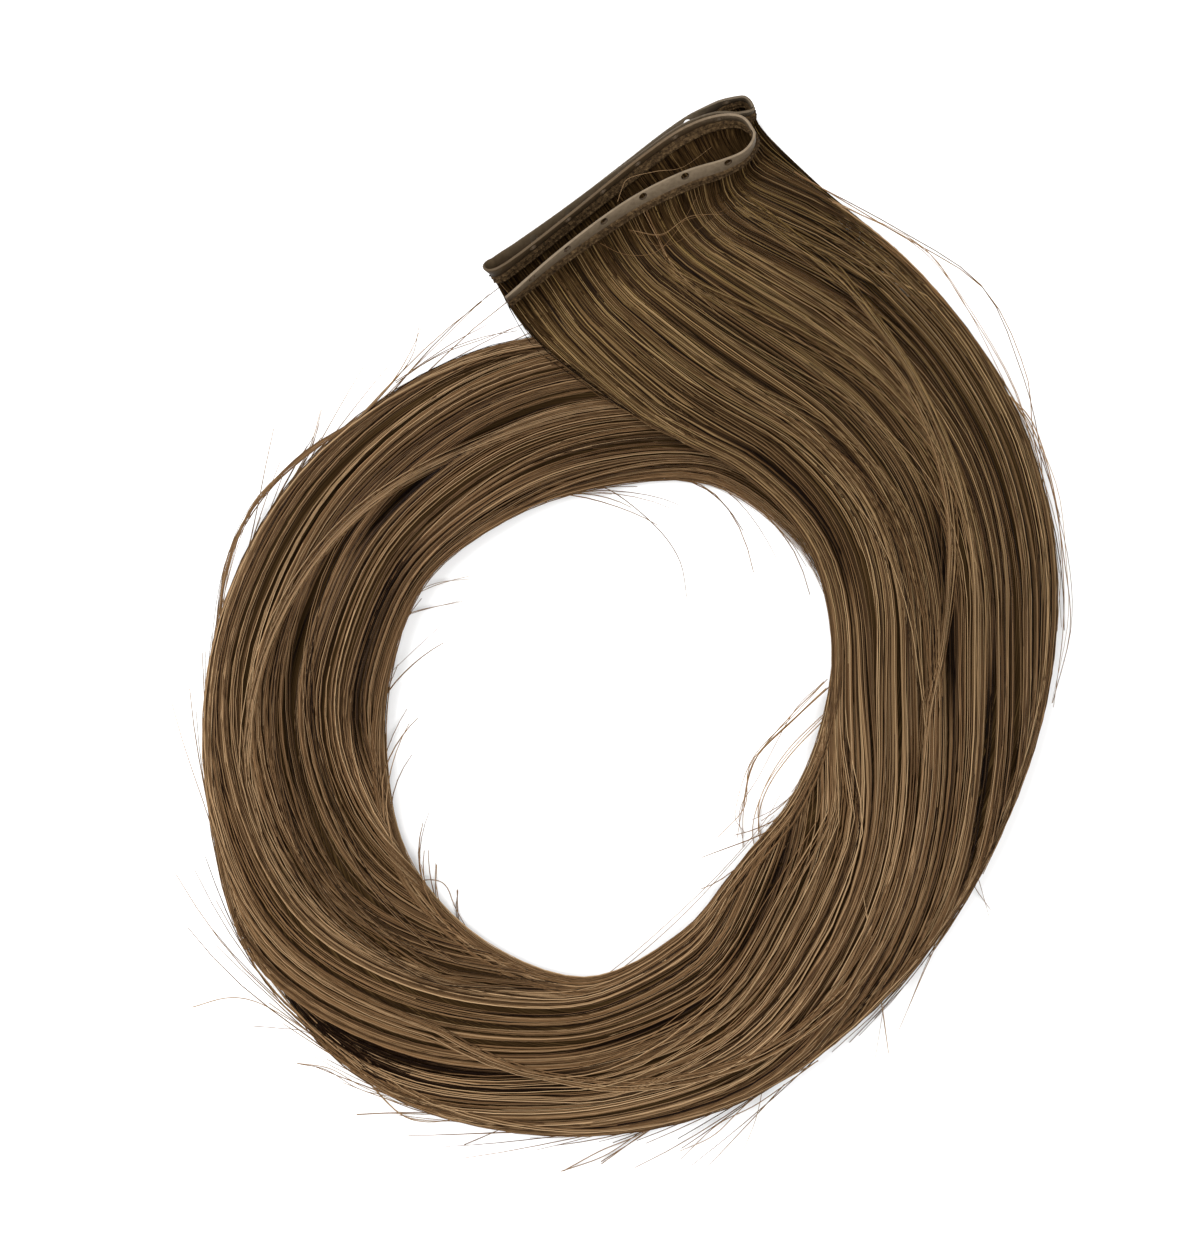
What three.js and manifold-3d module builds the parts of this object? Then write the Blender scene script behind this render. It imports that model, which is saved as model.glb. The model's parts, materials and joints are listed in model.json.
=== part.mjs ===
// Butterfly weft hair extension: a perforated tape with a sewn hem, folded in four layers, and
// the long hair that hangs from the hem, coiled once round and laid flat on a table.
// Millimetres, +Z up. The origin is on the table, under the middle of the whole piece.
import * as THREE from "three";
import { mergeVertices } from "three/addons/utils/BufferGeometryUtils.js";
import Module from "manifold-3d";

// Tape, hem and the small gap that keeps the pieces apart
const TAPE_HEIGHT = 3.8;
const TAPE_THICKNESS = 1.0;
const HEM_HEIGHT = 2.4;
const HEM_THICKNESS = 1.8;
const SEAT_GAP = 0.3;
const HOLE_DIAMETER = 2.1;
const HOLE_PITCH = 11;
const HOLE_SIDES = 8;
const FIRST_HOLE = 8;
const WEFT_STEPS_PER_ROW = 3;
const HAIR_CLEARANCE = 0.28;

// Hair: four strips, one from each layer of the weft, every strip a row of locks
const ROOT_THICKNESS = 1.7;
const ROOT_REACH = 42;
const ROOT_DROP = 7;
const COIL_STEPS = 39;
const STRIP_SHARE = 0.36;
const STRIP_PITCH = 0.213;
const GROOVE_DEPTH = 0.42;
const EDGE_WANDER = 0.035;
const TIP_SHARE = 0.45;
const UNDERSIDE_SHARE = 1.3;

// Where the middle of the coil lies from the origin
const COIL_CENTRE = { x: -5.58, y: -29.39 };

// The folded weft, row by row along its lower edge, from the front end to the back end.
// x, y and z are measured from the coil's middle on the table. leanX and leanY say how far
// the weft's upper edge leans over, as a share of its height. fold names the row where it turns.
const WEFT_ROWS = [
  { x: -23.9, y: 104.8, z: 18.0, leanX: -0.2, leanY: 0.29, fold: "front end" },
  { x: -9.8, y: 115.5, z: 18.5, leanX: -0.33, leanY: 0.47 },
  { x: 6.0, y: 126.1, z: 18.5, leanX: -0.36, leanY: 0.54 },
  { x: 18.9, y: 132.7, z: 18.2, leanX: -0.3, leanY: 0.56 },
  { x: 28.8, y: 136.6, z: 17.4, leanX: -0.22, leanY: 0.45 },
  { x: 34.3, y: 140.6, z: 16.6, leanX: -0.25, leanY: 0.2 },
  { x: 36.0, y: 145.0, z: 15.4, leanX: -0.15, leanY: 0.1, fold: "right loop" },
  { x: 31.6, y: 147.3, z: 13.9, leanX: -0.1, leanY: 0.4 },
  { x: 22.2, y: 143.4, z: 12.6, leanX: -0.34, leanY: 0.7 },
  { x: 11.5, y: 137.4, z: 11.6, leanX: -0.43, leanY: 0.68 },
  { x: 0.9, y: 130.9, z: 11.1, leanX: -0.43, leanY: 0.61 },
  { x: -9.7, y: 123.3, z: 10.8, leanX: -0.36, leanY: 0.52 },
  { x: -20.4, y: 115.3, z: 10.6, leanX: -0.36, leanY: 0.53 },
  { x: -25.4, y: 112.0, z: 10.4, leanX: -0.37, leanY: 0.54 },
  { x: -28.2, y: 111.5, z: 8.7, leanX: -0.4, leanY: 0.57, fold: "left fold" },
  { x: -26.2, y: 113.5, z: 6.9, leanX: -0.44, leanY: 0.62 },
  { x: -20.0, y: 117.4, z: 6.5, leanX: -0.46, leanY: 0.68 },
  { x: -9.6, y: 124.6, z: 6.2, leanX: -0.48, leanY: 0.7 },
  { x: 1.0, y: 132.4, z: 5.9, leanX: -0.48, leanY: 0.72 },
  { x: 10.9, y: 139.5, z: 5.8, leanX: -0.48, leanY: 0.72 },
  { x: 20.0, y: 146.0, z: 5.8, leanX: -0.46, leanY: 0.72 },
  { x: 27.8, y: 150.2, z: 5.9, leanX: -0.4, leanY: 0.73 },
  { x: 33.0, y: 151.9, z: 5.7, leanX: -0.36, leanY: 0.75 },
  { x: 35.0, y: 153.4, z: 4.1, leanX: -0.4, leanY: 0.75, fold: "right fold" },
  { x: 32.2, y: 153.3, z: 2.5, leanX: -0.42, leanY: 0.75 },
  { x: 26.8, y: 151.2, z: 2.3, leanX: -0.44, leanY: 0.75 },
  { x: 17.2, y: 145.6, z: 2.1, leanX: -0.48, leanY: 0.75 },
  { x: 5.0, y: 136.4, z: 2.1, leanX: -0.5, leanY: 0.74 },
  { x: -8.4, y: 126.2, z: 2.1, leanX: -0.5, leanY: 0.74 },
  { x: -21.6, y: 116.8, z: 2.1, leanX: -0.5, leanY: 0.74, fold: "back end" },
];

// The coil, section by section along the hair, from the weft to the tips. Turns are clockwise
// degrees from the top, radii are from the coil's middle, lift is the height of the inner edge
// over the table where the hair crosses its own tail, and height is the bundle's thickness.
const COIL_ROWS = [
  { innerTurn: -12, innerRadius: 110, outerTurn: 14, outerRadius: 151, lift: 1, height: 11 },
  { innerTurn: -7, innerRadius: 91, outerTurn: 22, outerRadius: 146, lift: 4.5, height: 10.5 },
  { innerTurn: 6, innerRadius: 77, outerTurn: 32, outerRadius: 140.5, lift: 6, height: 10.5 },
  { innerTurn: 27, innerRadius: 71.5, outerTurn: 44, outerRadius: 134, lift: 5.5, height: 11 },
  { innerTurn: 47, innerRadius: 67, outerTurn: 57, outerRadius: 127, lift: 4, height: 12 },
  { innerTurn: 68, innerRadius: 60, outerTurn: 72, outerRadius: 118, lift: 2.2, height: 13 },
  { innerTurn: 90, innerRadius: 53, outerTurn: 90, outerRadius: 107.5, lift: 0.6, height: 13.5 },
  { innerTurn: 112, innerRadius: 48.3, outerTurn: 112, outerRadius: 99, lift: 0, height: 14 },
  { innerTurn: 136, innerRadius: 46.5, outerTurn: 136, outerRadius: 96, lift: 0, height: 14 },
  { innerTurn: 160, innerRadius: 53.5, outerTurn: 160, outerRadius: 97.5, lift: 0, height: 15 },
  { innerTurn: 185, innerRadius: 62, outerTurn: 185, outerRadius: 100.5, lift: 0, height: 15.5 },
  { innerTurn: 210, innerRadius: 61.5, outerTurn: 210, outerRadius: 105, lift: 0, height: 14.5 },
  { innerTurn: 235, innerRadius: 59.8, outerTurn: 235, outerRadius: 106, lift: 0, height: 14 },
  { innerTurn: 260, innerRadius: 56.8, outerTurn: 260, outerRadius: 101, lift: 0, height: 13.5 },
  { innerTurn: 285, innerRadius: 56.5, outerTurn: 285, outerRadius: 100.2, lift: 0, height: 13 },
  { innerTurn: 310, innerRadius: 58.8, outerTurn: 310, outerRadius: 100, lift: 0, height: 11.5 },
  { innerTurn: 335, innerRadius: 58.8, outerTurn: 335, outerRadius: 100, lift: 0, height: 9.5 },
  { innerTurn: 358, innerRadius: 61, outerTurn: 358, outerRadius: 99.5, lift: 0, height: 7.5 },
  { innerTurn: 382, innerRadius: 67, outerTurn: 382, outerRadius: 97, lift: 0, height: 6 },
  { innerTurn: 404, innerRadius: 66.5, outerTurn: 402, outerRadius: 91, lift: 0, height: 4.6 },
  { innerTurn: 424, innerRadius: 64, outerTurn: 418, outerRadius: 80, lift: 0, height: 3 },
];

// How far each strip, from the top one to the bottom one, stands in from the coil's two edges,
// as a share of the coil's width, how many locks it has and where their sway starts. forward
// says that the weft's layer runs from the coil's inner side to its outer side.
const STRIP_ROWS = [
  { name: "front layer", inner: 0.12, outer: 0.15, locks: 9, phase: 0.0, forward: true },
  { name: "second layer", inner: 0.04, outer: 0.06, locks: 6, phase: 1.9, forward: false },
  { name: "third layer", inner: 0.0, outer: 0.0, locks: 6, phase: 3.4, forward: true },
  { name: "back layer", inner: 0.05, outer: 0.03, locks: 6, phase: 5.1, forward: false },
];

const wasm = await Module();
wasm.setup();

// Joining and cutting

function toSolid(geometry) {
  const bare = geometry.clone();
  bare.deleteAttribute("normal");
  bare.deleteAttribute("uv");
  const merged = mergeVertices(bare, 1e-4);
  return new wasm.Manifold(
    new wasm.Mesh({
      numProp: 3,
      vertProperties: merged.attributes.position.array,
      triVerts: Uint32Array.from(merged.index.array),
    }),
  );
}

function toGeometry(solid) {
  const { vertProperties, triVerts } = solid.getMesh();
  const geometry = new THREE.BufferGeometry();
  geometry.setAttribute("position", new THREE.BufferAttribute(vertProperties, 3));
  geometry.setIndex(new THREE.BufferAttribute(triVerts, 1));
  geometry.computeVertexNormals();
  return geometry;
}

// A closed skin through rings of points, all with the same number of points, counter-clockwise
// seen from the last ring. outline gives the ring's flat form, from which both ends are closed.
function loft(rings, outline) {
  const count = rings[0].length;
  const index = [];
  for (let ring = 0; ring + 1 < rings.length; ring += 1) {
    for (let i = 0; i < count; i += 1) {
      const j = (i + 1) % count;
      const [a, b] = [ring * count + i, ring * count + j];
      index.push(a, b, b + count, a, b + count, a + count);
    }
  }
  const lastRing = (rings.length - 1) * count;
  for (const [a, b, c] of THREE.ShapeUtils.triangulateShape(outline, [])) {
    index.push(c, b, a, lastRing + a, lastRing + b, lastRing + c);
  }
  const geometry = new THREE.BufferGeometry().setFromPoints(rings.flat());
  geometry.setIndex(index);
  return geometry;
}

// The folded weft

function curveThrough(points) {
  return new THREE.CatmullRomCurve3(points, false, "catmullrom", 0.5);
}

const lowerEdge = curveThrough(WEFT_ROWS.map((row) => new THREE.Vector3(row.x, row.y, row.z)));
lowerEdge.arcLengthDivisions = 40 * (WEFT_ROWS.length - 1);
const leanCurve = curveThrough(WEFT_ROWS.map((row) => new THREE.Vector3(row.leanX, row.leanY, 0)));

// The weft's lower edge, its way along, up to the upper edge and sideways out of its back, at
// curve parameter t.
function weftFrame(t) {
  const along = lowerEdge.getTangent(t);
  const up = leanCurve.getPoint(t);
  up.z = Math.sqrt(Math.max(0.05, 1 - up.x * up.x - up.y * up.y));
  up.addScaledVector(along, -up.dot(along)).normalize();
  const side = new THREE.Vector3().crossVectors(up, along);
  return { point: lowerEdge.getPoint(t), along, up, side };
}

// A strip with a given section, swept along the weft. Section points are (side, up).
function alongWeft(section) {
  const rings = [];
  const steps = WEFT_STEPS_PER_ROW * (WEFT_ROWS.length - 1);
  for (let step = 0; step <= steps; step += 1) {
    const { point, up, side } = weftFrame(step / steps);
    const place = (p) => point.clone().addScaledVector(side, p.x).addScaledVector(up, p.y);
    rings.push(section.map(place));
  }
  return loft(rings, section);
}

function tapeGeometry() {
  const low = HEM_HEIGHT + SEAT_GAP;
  const high = low + TAPE_HEIGHT;
  const half = TAPE_THICKNESS / 2;
  const section = [
    new THREE.Vector2(-half, low),
    new THREE.Vector2(half, low),
    new THREE.Vector2(half, high),
    new THREE.Vector2(-half, high),
  ];
  let tape = toSolid(alongWeft(section));
  const length = lowerEdge.getLength();
  const drill = new THREE.CylinderGeometry(
    HOLE_DIAMETER / 2, HOLE_DIAMETER / 2, 3 * TAPE_THICKNESS, HOLE_SIDES,
  );
  for (let at = FIRST_HOLE; at < length - FIRST_HOLE; at += HOLE_PITCH) {
    const { point, along, up, side } = weftFrame(lowerEdge.getUtoTmapping(0, at));
    point.addScaledVector(up, (low + high) / 2);
    const pose = new THREE.Matrix4().makeBasis(along, side, up).setPosition(point);
    tape = tape.subtract(toSolid(drill.clone().applyMatrix4(pose)));
  }
  return toGeometry(tape);
}

// The hem is a flat bead with bevelled edges.
function hemGeometry() {
  const half = HEM_THICKNESS / 2;
  const lip = half * 0.6;
  const heights = [0, 0.25, 0.75, 1].map((share) => share * HEM_HEIGHT);
  const halves = [lip, half, half, lip];
  const right = heights.map((h, i) => new THREE.Vector2(halves[i], h));
  const left = heights.map((h, i) => new THREE.Vector2(-halves[i], h)).reverse();
  return alongWeft([...right, ...left]);
}

// The coil of hair

function polar(turnDegrees, radius) {
  const turn = THREE.MathUtils.degToRad(turnDegrees);
  return new THREE.Vector3(radius * Math.sin(turn), radius * Math.cos(turn), 0);
}

const innerEdge = curveThrough(COIL_ROWS.map((row) => polar(row.innerTurn, row.innerRadius)));
const outerEdge = curveThrough(COIL_ROWS.map((row) => polar(row.outerTurn, row.outerRadius)));
const depthCurve = curveThrough(COIL_ROWS.map((row) => new THREE.Vector3(row.lift, row.height, 0)));
const middleLine = curveThrough(
  COIL_ROWS.map((row) =>
    polar(row.innerTurn, row.innerRadius).lerp(polar(row.outerTurn, row.outerRadius), 0.5),
  ),
);
const HAIR_LENGTH = middleLine.getLength();

// How far along the weft its rows lie that are named as folds: the ends of its layers.
const rowLengths = lowerEdge.getLengths(40 * (WEFT_ROWS.length - 1));
const foldLengths = WEFT_ROWS.flatMap((row, i) => (row.fold ? [rowLengths[40 * i]] : []));

// Where the hair of one layer leaves the hem, at share v from the coil's inner side.
function rootFrame(layer, v) {
  const share = STRIP_ROWS[layer].forward ? v : 1 - v;
  const along = THREE.MathUtils.lerp(foldLengths[layer], foldLengths[layer + 1], share);
  const { point, up, side } = weftFrame(lowerEdge.getUtoTmapping(0, along));
  const front = side.multiplyScalar(STRIP_ROWS[layer].forward ? -1 : 1);
  return { point: point.addScaledVector(up, -SEAT_GAP), down: up.negate(), front };
}

// The middle of a layer's strip at a distance along the hair and share v across it, with the
// way out of its upper face and its half thickness there.
function stripPoint(layer, distance, v) {
  const strip = STRIP_ROWS[layer];
  const t = middleLine.getUtoTmapping(0, distance);
  const spread = THREE.MathUtils.smoothstep(distance, 0, 3 * ROOT_REACH);
  const wander = EDGE_WANDER * spread * Math.sin(distance / 48 + 2.1 * strip.phase);
  const from = strip.inner * spread + Math.max(0, wander);
  const to = 1 - strip.outer * spread + Math.min(0, wander);
  const across = THREE.MathUtils.lerp(from, to, v);
  const { x: lift, y: height } = depthCurve.getPoint(t);
  const laid = innerEdge.getPoint(t).lerp(outerEdge.getPoint(t), across);
  const level = STRIP_SHARE / 2 + STRIP_PITCH * (STRIP_ROWS.length - 1 - layer);
  const raised = lift * (1 - THREE.MathUtils.smoothstep(across, 0.15, 0.6));
  laid.z = raised + level * height;

  const root = rootFrame(layer, v);
  const reach = ROOT_DROP * (1 - Math.exp(-distance / ROOT_DROP));
  const ray = root.point.clone().addScaledVector(root.down, reach);
  ray.x += root.down.x * (distance - reach);
  ray.y += root.down.y * (distance - reach);
  const settled = THREE.MathUtils.smoothstep(distance, 0, ROOT_REACH);
  const upper = root.front.clone().lerp(new THREE.Vector3(0, 0, 1), settled).normalize();
  const half = THREE.MathUtils.lerp(ROOT_THICKNESS, STRIP_SHARE * height, settled) / 2;
  return { point: ray.lerp(laid, settled), upper, half };
}

// Lock borders and crests across a strip, as shares v with a thickness share for each.
function lockProfile(layer, distance) {
  const { phase, locks } = STRIP_ROWS[layer];
  const width = 1 / locks;
  const sway = (lock) => 0.22 * width * Math.sin(1.7 * lock + phase + distance / 70);
  const border = (lock) =>
    lock === 0 || lock === locks ? lock * width : lock * width + sway(lock);
  const profile = [];
  for (let lock = 0; lock < locks; lock += 1) {
    const [from, to] = [border(lock), border(lock + 1)];
    const crest = 1 + 0.16 * Math.sin(2.3 * lock + 1.3 * phase + distance / 55);
    if (lock > 0) profile.push({ v: from, share: 1 - GROOVE_DEPTH });
    profile.push({ v: THREE.MathUtils.lerp(from, to, 0.28), share: crest });
    profile.push({ v: THREE.MathUtils.lerp(from, to, 0.72), share: crest });
  }
  return profile;
}

// One ring of points round a strip: along its upper face from the inner edge, and back below.
function stripRing(layer, distance) {
  const taper = THREE.MathUtils.lerp(
    1, TIP_SHARE, THREE.MathUtils.smoothstep(distance, 0.8 * HAIR_LENGTH, HAIR_LENGTH),
  );
  const pointAt = ({ v, share }, side) => {
    const { point, upper, half } = stripPoint(layer, distance, v);
    const round = Math.sqrt(1 - Math.abs(2 * v - 1) ** 4);
    point.addScaledVector(upper, side * half * share * round * taper);
    point.z = Math.max(point.z, 0);
    return point;
  };
  // the bottom strip is pressed flat on the table
  const isBottom = layer === STRIP_ROWS.length - 1;
  const underside = isBottom ? UNDERSIDE_SHARE : 1;
  const profile = lockProfile(layer, distance);
  const below = profile.filter((p) => p.share < 1 - GROOVE_DEPTH / 2);
  return [
    pointAt({ v: 0, share: 0 }, 1),
    ...below.map((p) => pointAt({ v: p.v, share: underside }, -1)),
    pointAt({ v: 1, share: 0 }, 1),
    ...profile.map((p) => pointAt(p, 1)).reverse(),
  ];
}

function stripGeometry(layer) {
  const rings = [];
  for (let step = 0; step <= COIL_STEPS; step += 1) {
    // steps are short near the weft, where the strip bends most
    const share = step / COIL_STEPS;
    rings.push(stripRing(layer, HAIR_LENGTH * (0.72 * share + 0.28 * share * share)));
  }
  const profile = lockProfile(layer, 0);
  const below = profile.filter((p) => p.share < 1 - GROOVE_DEPTH / 2);
  const outline = [
    new THREE.Vector2(0, 0),
    ...below.map((p) => new THREE.Vector2(p.v, -1)),
    new THREE.Vector2(1, 0),
    ...profile.map((p) => new THREE.Vector2(p.v, p.share)).reverse(),
  ];
  return loft(rings, outline);
}

// The room that the hair leaves round the tape and the hem.
function weftRoom() {
  const half = HEM_THICKNESS / 2 + HAIR_CLEARANCE;
  const top = HEM_HEIGHT + SEAT_GAP + TAPE_HEIGHT + HAIR_CLEARANCE;
  return alongWeft([
    new THREE.Vector2(-half, -HAIR_CLEARANCE),
    new THREE.Vector2(half, -HAIR_CLEARANCE),
    new THREE.Vector2(half, top),
    new THREE.Vector2(-half, top),
  ]);
}

// The strips fused into one body, clear of the weft. Pockets sealed in between are left out.
function hairGeometry() {
  const strips = STRIP_ROWS.map((_, layer) => toSolid(stripGeometry(layer)));
  const whole = strips.reduce((joined, strip) => joined.add(strip)).subtract(toSolid(weftRoom()));
  const bodies = whole.decompose().sort((a, b) => b.volume() - a.volume());
  return toGeometry(bodies[0]);
}

// Materials and the assembly

const tapeMaterial = new THREE.MeshStandardMaterial({ color: 0x857357, roughness: 0.55, metalness: 0 });
const hemMaterial = new THREE.MeshStandardMaterial({ color: 0x5a452c, roughness: 0.85, metalness: 0 });
const hairMaterial = new THREE.MeshStandardMaterial({ color: 0x5e4629, roughness: 0.5, metalness: 0 });

function piece(name, geometry, material) {
  const mesh = new THREE.Mesh(geometry, material);
  mesh.name = name;
  return mesh;
}

const extension = new THREE.Group();
extension.add(piece("perforated_tape", tapeGeometry(), tapeMaterial));
extension.add(piece("sewn_hem", hemGeometry(), hemMaterial));
extension.add(piece("hair", hairGeometry(), hairMaterial));
extension.position.set(COIL_CENTRE.x, COIL_CENTRE.y, 0);

export default extension;
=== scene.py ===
"""Looks of a butterfly weft hair extension: a folded, perforated tape with a sewn hem and long
straight hair, coiled once round and laid on a pale table. Tables are in millimetres from the
middle of the coil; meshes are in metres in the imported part's own frame."""

import json

import bpy
import numpy as np
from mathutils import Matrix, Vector

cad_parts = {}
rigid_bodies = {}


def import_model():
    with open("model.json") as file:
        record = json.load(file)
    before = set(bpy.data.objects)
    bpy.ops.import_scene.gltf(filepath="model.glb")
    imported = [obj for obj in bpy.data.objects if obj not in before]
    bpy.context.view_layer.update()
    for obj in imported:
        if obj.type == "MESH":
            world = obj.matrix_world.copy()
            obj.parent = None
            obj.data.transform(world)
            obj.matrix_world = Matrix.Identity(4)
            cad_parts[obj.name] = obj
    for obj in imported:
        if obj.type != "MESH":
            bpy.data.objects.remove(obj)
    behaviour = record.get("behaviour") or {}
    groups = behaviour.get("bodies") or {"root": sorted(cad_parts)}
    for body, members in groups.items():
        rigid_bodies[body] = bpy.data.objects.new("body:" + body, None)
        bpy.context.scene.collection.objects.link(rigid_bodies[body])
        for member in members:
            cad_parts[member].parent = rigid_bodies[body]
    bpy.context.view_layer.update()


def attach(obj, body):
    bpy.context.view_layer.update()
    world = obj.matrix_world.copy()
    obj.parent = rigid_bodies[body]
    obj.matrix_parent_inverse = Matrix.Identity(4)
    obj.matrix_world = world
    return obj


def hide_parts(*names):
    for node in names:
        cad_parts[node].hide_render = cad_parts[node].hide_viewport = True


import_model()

MM = 0.001
SEED = 24
COIL_CENTRE = np.array([-5.58, -29.39, 0.0])
FRONT, SECOND, THIRD, BACK = range(4)

# Sizes of the weft. Each row of stitches has a height on the hem and a slant
HEM_HEIGHT = 2.4
HEM_THICKNESS = 1.8
HEM_BEVEL = 0.3
SEAT_GAP = 0.3
SKIN_HEIGHT = 3.3
SKIN_THICKNESS = 0.7
SKIN_BEVEL = 0.2
TAPE_SINK = 0.5
HOLE_DIAMETER = 2.1
HOLE_SIDES = 20
HOLE_PITCH = 11.0
FIRST_HOLE = 8.0
FOLD_CLEARANCE = 0.7 * HOLE_PITCH
FRONT_HOLE_LEVEL = 2.0
BACK_HOLE_LEVEL = 1.6
STITCH_PITCH = 0.65
STITCH_SIZE = (0.95, 0.6, 0.5)
STITCH_SINK = 0.3
STITCH_ROWS = ((0.55, 0.3), (1.75, -0.3))
KNOT_STITCHES = 9
KNOT_SPREAD = 0.6

# Hair at the hem. Its bend and its settling start and end at distances from the hem, and end
# sooner by the third number at the outer end of a layer
ROOT_SINK = 0.5
ROOT_DEPTHS = (-0.55, 0.35)
ROOT_BUNDLE_PITCH = 0.95
ROOT_BUNDLE_WIDTH = 0.4
COMB_REACH = 12.0
ROOT_DROP = 7.0
SOONER_SHARES = (0.7, 1.0)
ROOT_REACH = 42.0
BEND = (2.0, ROOT_REACH, 26.0)
SETTLE = (3.0, 58.0, 30.0)

# Points along a hair and round it
HAIR_POINTS = 82
ROOT_POINTS = 7
ROOT_ZONE = 26.0
ROOT_CROWDING = 1.2
TIP_ZONE = 30.0
BEND_WEIGHT = 0.65
STATION_GIRTH = 0.019
STRAY_POINTS = 14
LOOSE_POINTS = 22
STRAND_SIDES = 3

# Sizes of the hairs; lengths are shares of the coil's length
HAIR_RADIUS = 0.105
HAIR_RADII = (0.7, 1.3)
STRAY_RADIUS = 0.19
TIP_WIDTH = 0.35
TIP_TAPER = 0.12
LONG_SHARES = (0.86, 0.995)
SHORT_SHARES = (0.5, 0.86)
SHORT_HAIRS = 0.10
HAIR_CLEARANCE = 0.25
LOOSE_CLEARANCE = 0.3
LOOSE_RADII = (0.75, 1.25)
LOOSE_TIP = 0.5
LOOSE_NUDGE = np.array([1, 1, 0.15])

# How hairs gather in locks and groups. Sways are a wave length and a size: drifts as a share of
# the girth, rises in mm
COMBED_AT = (8, 40)
GATHERED_AT = (20, 140)
LOCK_MIXING = 0.2
LOCK_GROUPS = 5
GROUP_NARROWING = 0.75
LOCK_DRIFT = (280, 0.014)
GROUP_DRIFT = (240, 0.006)
LOCK_RISE = (260, 0.8)
GROUP_RISE = (200, 0.4)
OWN_SWAYS = ((260, 0.0016), (140, 0.0005))
WILD_HAIRS = 0.07
WILD_SWAY = 5.0
SKIN_DEPTH = 0.15
HAIR_DEPTH = 1.3
GROOVE_DEPTH = 1.5
RIM_STANDS_OUT = 0.3
RIM_GIRTH = 0.14
RIM_SHIFT = 0.02
TOP_START = -0.005
TOP_GIRTH = 0.51
PARTING_FADE = (15, 12)
LIFT_SHARES = (0.15, 0.6)

# Locks that drift over the others: how far their hairs lag behind each other, how they spread,
# come up and go down again, and their depths and tones
DRIFT_SHARES = (0.84, 0.97)
DRIFT_RADII = (0.7, 1.2)
DRIFT_SWAY = (240, 0.003)
DRIFT_LAG = 40
DRIFT_JITTER = 3
DRIFT_FADE = 15
DRIFT_FANNING = 0.6
DRIFT_UP = 70
DRIFT_DOWN = 80
DRIFT_DOME = 1.9
DRIFT_HIDDEN = 1.6
DRIFT_SHOWN = 2.1
DRIFT_DEEP = 0.6
DRIFT_ROOTS = 0.48
DRIFT_ROOT_DEPTHS = (-0.5, 0.35)
DRIFT_TONE = 0.55
DRIFT_TONES = 0.08

# Short loose ends: their run and swing as shares of their row's, the lead inside the coil, how
# they bend away, how deep they start, their level in the coil and how fast they fall
STRAY_RUNS = (0.5, 1.2)
STRAY_LEADS = (25, 60)
STRAY_SWINGS = (0.2, 1.5)
STRAY_BENDS = (1.1, 1.9)
STRAY_INSETS = (1.0, 4.0)
STRAY_EDGE = 0.3
STRAY_LEVELS = (0.25, 0.75)
STRAY_FALLS = (0.6, 2.2)

# Tones of the hairs, from 0 dark to 1 light. Painted shade darkens the roots near the hem, but less at the
# layers' outer ends, which lie open, and darkens hairs deep in the bundle, in partings and in grooves
SHELL_TONE = 0.5
RIM_TONE = 0.58
HAIR_TONE = 0.24
LOOSE_TONES = 0.12
LOCK_TONE = (300, 0.03)
GROUP_TONE = (220, 0.02)
DEEP_SHADE = 0.15
FAN_REACH = (60, 220)
FAN_CONTRAST = 0.6
FAN_SHADE = 0.05
PARTING_SHADE = 0.20
GROOVE_SHADE = 0.05
ROOT_SHADES = (0.10, 0.78, 0.78, 0.60)
ROOT_SHADE_REACH = 14.0
OPEN_END_FROM = {SECOND: 0.90, THIRD: 0.78, BACK: 0.78}
OPEN_END_TO = 0.98
OPEN_END_LIGHT = 0.9

# The inside of the coil and of the root sheets
CORE_DEPTH = 1.7
CORE_START = 34.0
CORE_STOP = 0.965
CORE_OPENING = 30.0
CORE_STEPS = 150
CORE_SIDES = 72
SHEET_REACH = 66.0
SHEET_THICKNESS = 0.5
SHEET_DEPTH = 2.3
SHEET_ROOT = -0.2
SHEET_NARROWING = 0.18
SHEET_SINKS = (0.04, 0.35, 0.65, 0.96)
SHEET_CLEARANCE = 0.2

# Table, light and camera; lights and the table's half width are in metres
TABLE_HALF = 4.0
TABLE_TONE = (0.76, 0.76, 0.76)
ROOM_LIGHT = 0.28
CAMERA_HEIGHT = 600.0
PHOTO_PLANE = 5.0
PHOTO_HEIGHT = 309.0
SENSOR_HEIGHT = 36.0
VIEW_CENTRE = COIL_CENTRE + np.array([-2.0, 28.25, 0.0])

# Soft lights over the origin: name, place, width of the disk and power
LIGHT_ROWS = [
    ("window", (-0.75, 0.45, 1.1), 1.3, 37),
    ("ceiling", (0.35, -0.25, 1.35), 1.2, 24),
]

# The bundle's section: how square it is, and its width over its height
SECTION_POWER = 2.8
SECTION_ASPECT = 3.2

# Where the bundle rolls over: first turn, last turn, and share of the girth
TWIST_ROWS = np.array([
    (72, 165, 0.26),
    (172, 282, 0.34),
    (290, 400, 0.1),
])

# Partings where the coil shows dark between locks, with painted shade on the hairs in them: first and last
# turn, share of the girth, half width as a share of the girth, and depth
PARTING_ROWS = np.array([
    (312, 346, 0.245, 0.014, 3.4),
    (182, 238, 0.395, 0.034, 4.4),
    (56, 84, 0.255, 0.012, 3),
    (32, 60, 0.07, 0.013, 3),
    (266, 312, 0.095, 0.017, 2.6),
    (226, 254, 0.25, 0.012, 2.8),
    (122, 152, 0.12, 0.014, 2.8),
    (258, 292, 0.26, 0.01, 2.4),
    (160, 182, 0.2, 0.01, 2.4),
    (345, 385, 0.15, 0.013, 2.2),
    (84, 108, 0.38, 0.011, 2.4),
    (212, 236, 0.42, 0.01, 2.4),
])

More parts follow.
